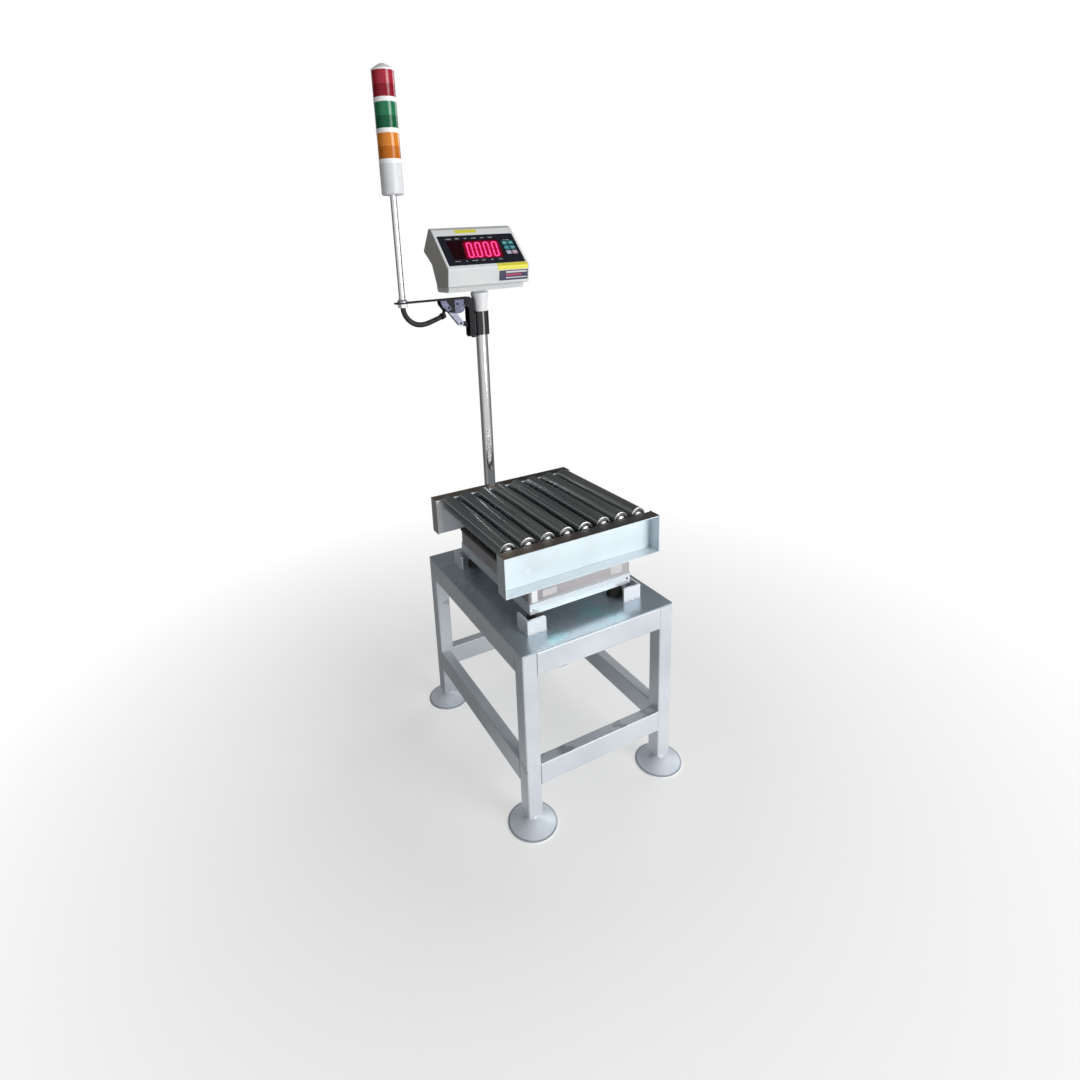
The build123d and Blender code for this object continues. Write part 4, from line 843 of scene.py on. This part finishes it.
def print_words(name, words, size, across, up, lift, body):
    """Flat print on the sloping front, centred on a place."""
    written = bpy.data.curves.new(name, "FONT")
    written.body, written.size, written.align_x, written.align_y = words, size, "CENTER", "CENTER"
    written.extrude, written.resolution_u = INK_THICK, 2
    text = bpy.data.objects.new(name + "_text", written)
    bpy.context.collection.objects.link(text)
    bpy.context.view_layer.update()
    mesh = bpy.data.meshes.new_from_object(text.evaluated_get(bpy.context.evaluated_depsgraph_get()))
    bpy.data.objects.remove(text)
    for corner in mesh.vertices:
        corner.co = on_face(across + corner.co.x, up + corner.co.y, lift + corner.co.z)
    mesh.materials.clear()
    mesh.materials.append(ink.material)
    printed = bpy.data.objects.new(name, mesh)
    bpy.context.collection.objects.link(printed)
    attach(printed, body)


for row, (up, first, pitch, words) in enumerate((
    (0.0434, -0.0854, 0.0256, ("STABLE", "ZERO", "NET", "GROSS", "TARE", "HOLD")),
    (-0.0408, -0.0859, 0.0260, ("TOTAL", "kg", "COUNT", "LOW", "OK", "HIGH")),
)):
    for column, word in enumerate(words):
        print_words(f"legend_{row}_{column}", word, LEGEND_SIZE, first + pitch * column, up, INK_THICK,
                    "indicator")
for number, word in enumerate(("ZERO", "TARE", "NET", "HOLD", "SET", "ON"), start=1):
    low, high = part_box(f"key_{number}")
    centre = (low + high) / 2 - plate_middle
    print_words(f"key_print_{number}", word, KEY_SIZE, centre.x, centre.dot(up_slope),
                KEY_PROUD + INK_THICK, f"membrane_key_{number}")
print_words("keys_legend", "SET  ZERO", size=0.0040, across=0.0885, up=0.0305, lift=INK_THICK,
            body="indicator")

# Labels on the housing: plain yellow vinyl, and dark blue vinyl with pale and crimson bars on it.
# The yellow one at the bottom is bent round the edge between the slope and the front band.
yellow = Finish("yellow_vinyl")
yellow.surface(
    Base_Color=yellow.mix(yellow.noise(60, 3), (0.72, 0.66, 0.03), (0.80, 0.74, 0.09)),
    Roughness=0.34 + 0.08 * yellow.noise(300, 2),
    Normal=yellow.bump(yellow.noise(90, 2), 0.0001),
)
blue = Finish("blue_vinyl")
blue.surface(
    Base_Color=blue.mix(blue.noise(60, 3), (0.010, 0.012, 0.045), (0.022, 0.024, 0.075)),
    Roughness=0.3 + 0.08 * blue.noise(300, 2),
    Normal=blue.bump(blue.noise(90, 2), 0.0001),
)
pale = Finish("pale_vinyl")
pale.surface(
    Base_Color=pale.mix(pale.noise(60, 3), (0.52, 0.50, 0.56), (0.66, 0.64, 0.68)),
    Roughness=0.35 + 0.08 * pale.noise(300, 2),
)
crimson = Finish("crimson_vinyl")
crimson.surface(
    Base_Color=crimson.mix(crimson.noise(60, 3), (0.34, 0.012, 0.07), (0.46, 0.02, 0.10)),
    Roughness=0.33 + 0.08 * crimson.noise(300, 2),
)
slab("top_label", round_box(-0.0565, 0.0095, 0.0650, 0.0776, radius=0.002), LABEL_THICK, on_face,
     "indicator", yellow.material)

FOOT_OF_SLOPE, FRONT_DROP, FRONT_LEAN, EDGE_ROUND = -0.068, 0.048, 0.008, 0.005
front_edge = on_face(0, FOOT_OF_SLOPE, 0)
down_band = Vector((0, FRONT_LEAN, -FRONT_DROP)).normalized()
out_of_band = Vector((0, -FRONT_DROP, -FRONT_LEAN)).normalized()
bend = (-up_slope).angle(down_band)
tangent = EDGE_ROUND * tan(bend / 2)


def down_front(distance, lift):
    """A place along the housing's front, down from the edge between slope and band."""
    if distance < -tangent:
        return front_edge + up_slope * -distance + out_of_face * lift
    if distance > tangent:
        return front_edge + down_band * distance + out_of_band * lift
    turned = (distance + tangent) / (2 * tangent) * bend
    middle = front_edge + up_slope * tangent - out_of_face * EDGE_ROUND
    return middle + (out_of_face * cos(turned) - up_slope * sin(turned)) * (EDGE_ROUND + lift)


VINYL_THICK, FIRST_LAYER, SECOND_LAYER = 0.00025, 0.0003, 0.0005


def wrap(name, x0, x1, start, end, lift, material):
    """A thin label that follows the housing's front."""
    steps = 18
    corners, faces = [], []
    for i in range(steps + 1):
        distance = start + (end - start) * i / steps
        for x in (x0, x1):
            for height in (lift - VINYL_THICK, lift):
                corners.append(down_front(distance, height) + Vector((x, 0, 0)))
    for i in range(steps):
        a, b = 4 * i, 4 * i + 4
        faces += [(a + 1, b + 1, b + 3, a + 3), (a, a + 2, b + 2, b),
                  (a, b, b + 1, a + 1), (a + 2, a + 3, b + 3, b + 2)]
    faces += [(0, 1, 3, 2), (4 * steps, 4 * steps + 2, 4 * steps + 3, 4 * steps + 1)]
    made = outward(mesh_of(name, corners, faces))
    made.data.materials.append(material)
    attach(made, "indicator")


wrap("front_label_yellow", 0.0245, 0.1195, -0.0112, 0.0105, FIRST_LAYER, yellow.material)
wrap("front_label_blue", 0.0290, 0.1195, 0.0122, 0.0398, FIRST_LAYER, blue.material)
wrap("front_label_pale", 0.0500, 0.1160, 0.0150, 0.0196, SECOND_LAYER, pale.material)
wrap("front_label_crimson", 0.0500, 0.1000, 0.0226, 0.0280, SECOND_LAYER, crimson.material)
wrap("front_label_lower", 0.0500, 0.1160, 0.0318, 0.0345, SECOND_LAYER, pale.material)

# Belly of the housing: it reaches nearly to the sides, so each side of the middle has an end of the
# same grey moulding. A screw sits deep in a recess under it; the recess is a thin dark disc of painted
# shade.
BELLY = [           # outline from the side, Y and Z
    (0.2362, 1.2931), (0.2442, 1.2752), (0.3158, 1.2752), (0.3238, 1.2832), (0.3238, 1.310), (0.292, 1.318)]
MIDDLE_HALF, BELLY_INSET = 0.0895, 0.0090
low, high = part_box("indicator_front_shell")
for hand, side in (("left", -1), ("right", 1)):
    inner, outer = side * MIDDLE_HALF, side * (high.x - BELLY_INSET)
    slab("belly_end_" + hand, BELLY, outer - inner, lambda y, z, lift: (inner + lift, y, z), "indicator",
         moulding.material)
shadow = Finish("recess_dark")
shadow.surface(
    Base_Color=shadow.mix(shadow.noise(300, 1), (0.012, 0.012, 0.013), (0.03, 0.03, 0.03)),
    Roughness=0.6 + 0.1 * shadow.noise(400, 1),
)
BELLY_FALL = Vector((0, 0.008, -0.018)).normalized()
belly_out = Vector((0, BELLY_FALL.z, -BELLY_FALL.y))
recess, RECESS_RADIUS, RECESS_LIFT = Vector((-0.0135, 0.2415, 1.2806)), 0.0022, 0.00015
circle = [(RECESS_RADIUS * cos(a * pi / 8), RECESS_RADIUS * sin(a * pi / 8)) for a in range(16)]
slab("belly_recess", circle, RECESS_LIFT,
     lambda x, fall, lift: recess + Vector((x, 0, 0)) + BELLY_FALL * fall + belly_out * lift,
     "indicator", shadow.material)

# Folding bracket: black painted steel leg and arm, grey riveted cheek plates, a grey folded
# brace, and a glossy black moulded sleeve that clamps it to the column.
gloss = Finish("sleeve_moulding")
put_on(
    gloss.surface(
        Base_Color=gloss.mix(gloss.noise(30, 2), (0.003, 0.003, 0.005), (0.008, 0.008, 0.012)),
        Roughness=0.05 + 0.03 * gloss.noise(90, 2),
        Specular_IOR_Level=0.5,
        Coat_Weight=0.4,
        Coat_Roughness=0.03,
    ),
    "column_sleeve",
)
black = Finish("bracket_paint")
rub = black.noise(70, 3).over(0.66, 0.74)
put_on(
    black.surface(
        Base_Color=black.mix(rub, (0.009, 0.009, 0.013), (0.13, 0.13, 0.16)),
        Roughness=0.40 + 0.15 * black.noise(250, 2),
        Specular_IOR_Level=0.12,
        Normal=black.bump(black.noise(500, 1), 0.0001),
    ),
    "bracket_leg", "bracket_arm", "bracket_pins",
)


def worn_paint(name, dark, pale):
    """Lavender-grey paint, rubbed lighter in places."""
    worn = Finish(name)
    rub = worn.noise(60, 3).over(0.60, 0.72)
    return worn.surface(
        Base_Color=worn.mix(rub, dark, pale),
        Metallic=0.45,
        Roughness=0.36 + 0.15 * worn.noise(250, 2),
        Specular_IOR_Level=0.25,
        Normal=worn.bump(worn.noise(400, 1), 0.0001),
    )


put_on(worn_paint("brace_paint", (0.20, 0.20, 0.26), (0.36, 0.36, 0.42)), "bracket_brace")
cheek_paint = worn_paint("cheek_paint", (0.075, 0.077, 0.125), (0.17, 0.17, 0.24))
column_y = (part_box("column")[0].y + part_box("column")[1].y) / 2
CHEEK_HALF, CHEEK_PLATE = 0.0125, 0.00022       # so thin that they pass inside the leg as the arm folds
CHEEKS = {
    "outer": [(-0.1265, 1.2525), (-0.110, 1.2525), (-0.094, 1.2290), (-0.1060, 1.2215), (-0.1215, 1.2370)],
    "inner": [(-0.084, 1.2525), (-0.056, 1.2525), (-0.057, 1.2200), (-0.066, 1.2150), (-0.084, 1.2160)],
}
for side in (-1, 1):
    for name, outline in CHEEKS.items():
        slab(f"cheek_plate_{name}_{'front' if side < 0 else 'back'}", outline, CHEEK_PLATE,
             lambda x, z, lift: (x, column_y + side * (CHEEK_HALF + lift), z), "tower_arm",
             cheek_paint)

# Signal tower: a satin steel tube with plated nuts, a light grey moulded base, whiter rings and
# cap, and three clear coloured lenses with a dark waist and fine upright flutes inside, over
# light pillars of the base's grey. Each lens's lower half is coloured darker than its upper half,
# as a painted reflection on the upper halves.
satin = Finish("pole_satin")
put_on(
    satin.surface(
        Base_Color=satin.mix(satin.noise(14, 2, (1, 1, 0.3)), (0.68, 0.68, 0.71), (0.77, 0.77, 0.79)),
        Metallic=0.9,
        Roughness=0.22 + 0.06 * satin.noise(200, 1),
    ),
    "tower_pole",
)
nut = Finish("pole_nut_plating")
low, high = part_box("bracket_arm")
gland = 1 - nut.axis("Z").over(high.z - 0.002, high.z - 0.001)
plated = nut.mix(nut.noise(120, 2), (0.34, 0.335, 0.42), (0.46, 0.45, 0.54))
put_on(
    nut.surface(
        Base_Color=nut.mix(gland, plated, (0.80, 0.80, 0.82)),
        Metallic=0.7 - 0.7 * gland,
        Roughness=0.3 + 0.1 * nut.noise(300, 1),
    ),
    "pole_nuts",
)
cream = Finish("tower_moulding")
put_on(
    cream.surface(
        Base_Color=cream.mix(cream.noise(25, 3), (0.68, 0.70, 0.73), (0.75, 0.77, 0.79)),
        Roughness=0.34 + 0.1 * cream.noise(500, 1),
        Normal=cream.bump(cream.noise(1200, 1), 0.00006),
    ),
    "tower_base", "light_cores",
)
ring_white = Finish("ring_moulding")
put_on(
    ring_white.surface(
        Base_Color=ring_white.mix(ring_white.noise(25, 3), (0.88, 0.89, 0.90), (0.93, 0.935, 0.94)),
        Roughness=0.3 + 0.1 * ring_white.noise(500, 1),
    ),
    "tower_rings", "tower_cap",
)
FLUTES = 36
WAIST, LOWER_HALF = (-0.0030, -0.0018), (-0.0035, -0.0025)      # heights from a lens's middle
for colour_name, deep, clear in (
    ("amber", (0.46, 0.10, 0.001), (0.94, 0.31, 0.012)),
    ("green", (0.0, 0.070, 0.026), (0.0, 0.24, 0.092)),
    ("red", (0.20, 0.001, 0.010), (0.52, 0.005, 0.034)),
):
    lens = Finish("lens_" + colour_name)
    low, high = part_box("lens_" + colour_name)
    centre = (low + high) / 2
    z = lens.axis("Z") - centre.z
    around = lens.add("ShaderNodeMath", {"operation": "ARCTAN2"}, {
        0: lens.axis("Y") - centre.y, 1: lens.axis("X") - centre.x})
    flute = around.math("SINE", around * FLUTES) * 0.5 + 0.5
    waist = z.within(*WAIST, edge=0.0008)
    # Painted reflection: the lower half is coloured darker, leaving the upper half lighter as if it
    # mirrored the window.
    lower = 1 - z.over(*LOWER_HALF)
    tone = (0.5 * flute + 0.2 * lens.noise(30, 2) + 0.4) * (1 - 0.6 * lower) * (1 - 0.8 * waist)
    put_on(
        lens.surface(
            Base_Color=lens.mix(tone, deep, clear),
            Roughness=0.12 + 0.05 * flute,
            Transmission_Weight=0.15,
            IOR=1.49,
            Specular_IOR_Level=0.2,
            Coat_Weight=0.45 - 0.4 * lower,
            Coat_Roughness=0.04,
            Normal=lens.bump(flute * 0.1 - waist, 0.0001),
        ),
        "lens_" + colour_name,
    )

# Sleeved cable: black ribbed plastic conduit that hangs in one sag from the gland under the pole
# to the clip behind the rear cheek. Its ribs follow the route's smooth line.
CABLE_WIDE, RIB_PITCH, RIB_DEPTH = 0.015, 0.0032, 0.0011
STATIONS = 4        # places along the line for each rib
route = [Vector(place) for place in (
    (-0.2330, 0.2920, 1.2435), (-0.2326, 0.2923, 1.2330), (-0.2245, 0.2945, 1.2145),
    (-0.2085, 0.2990, 1.1990), (-0.1870, 0.3075, 1.1900), (-0.1620, 0.3150, 1.1895),
    (-0.1370, 0.3175, 1.1965), (-0.1139, 0.3145, 1.2054),
)]
line = bpy.data.curves.new("tower_cable_route", "CURVE")
line.dimensions = "3D"
line.resolution_u = 24
spline = line.splines.new("NURBS")
spline.points.add(len(route) - 1)
for point, place in zip(spline.points, route):
    point.co = (*place, 1)
spline.order_u = 3
spline.use_endpoint_u = True
route_object = bpy.data.objects.new("tower_cable_route", line)
bpy.context.collection.objects.link(route_object)
bpy.context.view_layer.update()
smooth = bpy.data.meshes.new_from_object(route_object.evaluated_get(bpy.context.evaluated_depsgraph_get()))
path = [corner.co.copy() for corner in smooth.vertices]
bpy.data.objects.remove(route_object)

conduit = Finish("conduit_black")
conduit.surface(
    Base_Color=conduit.mix(conduit.noise(60, 3).over(0.45, 0.7), (0.010, 0.010, 0.012),
                           (0.035, 0.035, 0.04)),
    Roughness=0.5 + 0.15 * conduit.noise(200, 2),
    Normal=conduit.bump(conduit.noise(400, 1), 0.0001),
)
ribs = Growth("ribs", [
    ("Pitch", "Float"), ("Radius", "Float"), ("Depth", "Float"), ("Material", "Material")])
cable_line = ribs.add("GeometryNodeMeshToCurve", {}, {0: ribs.given("Geometry")})
along = ribs.add("GeometryNodeResampleCurve", {"mode": "LENGTH"}, {
    "Curve": cable_line, "Length": ribs.given("Pitch") / STATIONS})
beat = ribs.add("ShaderNodeMath", {"operation": "COSINE"}, {
    0: ribs.add("GeometryNodeInputIndex") * (2 * pi / STATIONS)})
wave = ribs.given("Radius") - ribs.given("Depth") * (0.5 - 0.5 * beat)
sized = ribs.add("GeometryNodeSetCurveRadius", {}, {"Curve": along, "Radius": wave})
ring = ribs.add("GeometryNodeCurvePrimitiveCircle", {}, {"Resolution": 20, "Radius": 1.0})
ribs.close(ribs.add("GeometryNodeCurveToMesh", {}, {
    "Curve": sized, "Profile Curve": ring, "Scale": wave, "Fill Caps": True}))
path_line = mesh_of("path_line", path, [], [(i, i + 1) for i in range(len(path) - 1)])
cable = ribs.grow("tower_cable_ribbed", path_line, Pitch=RIB_PITCH, Radius=CABLE_WIDE / 2, Depth=RIB_DEPTH,
                  Material=conduit.material)
for face in cable.data.polygons:
    face.use_smooth = len(face.vertices) == 4
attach(cable, "tower_arm")
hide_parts("tower_cable")
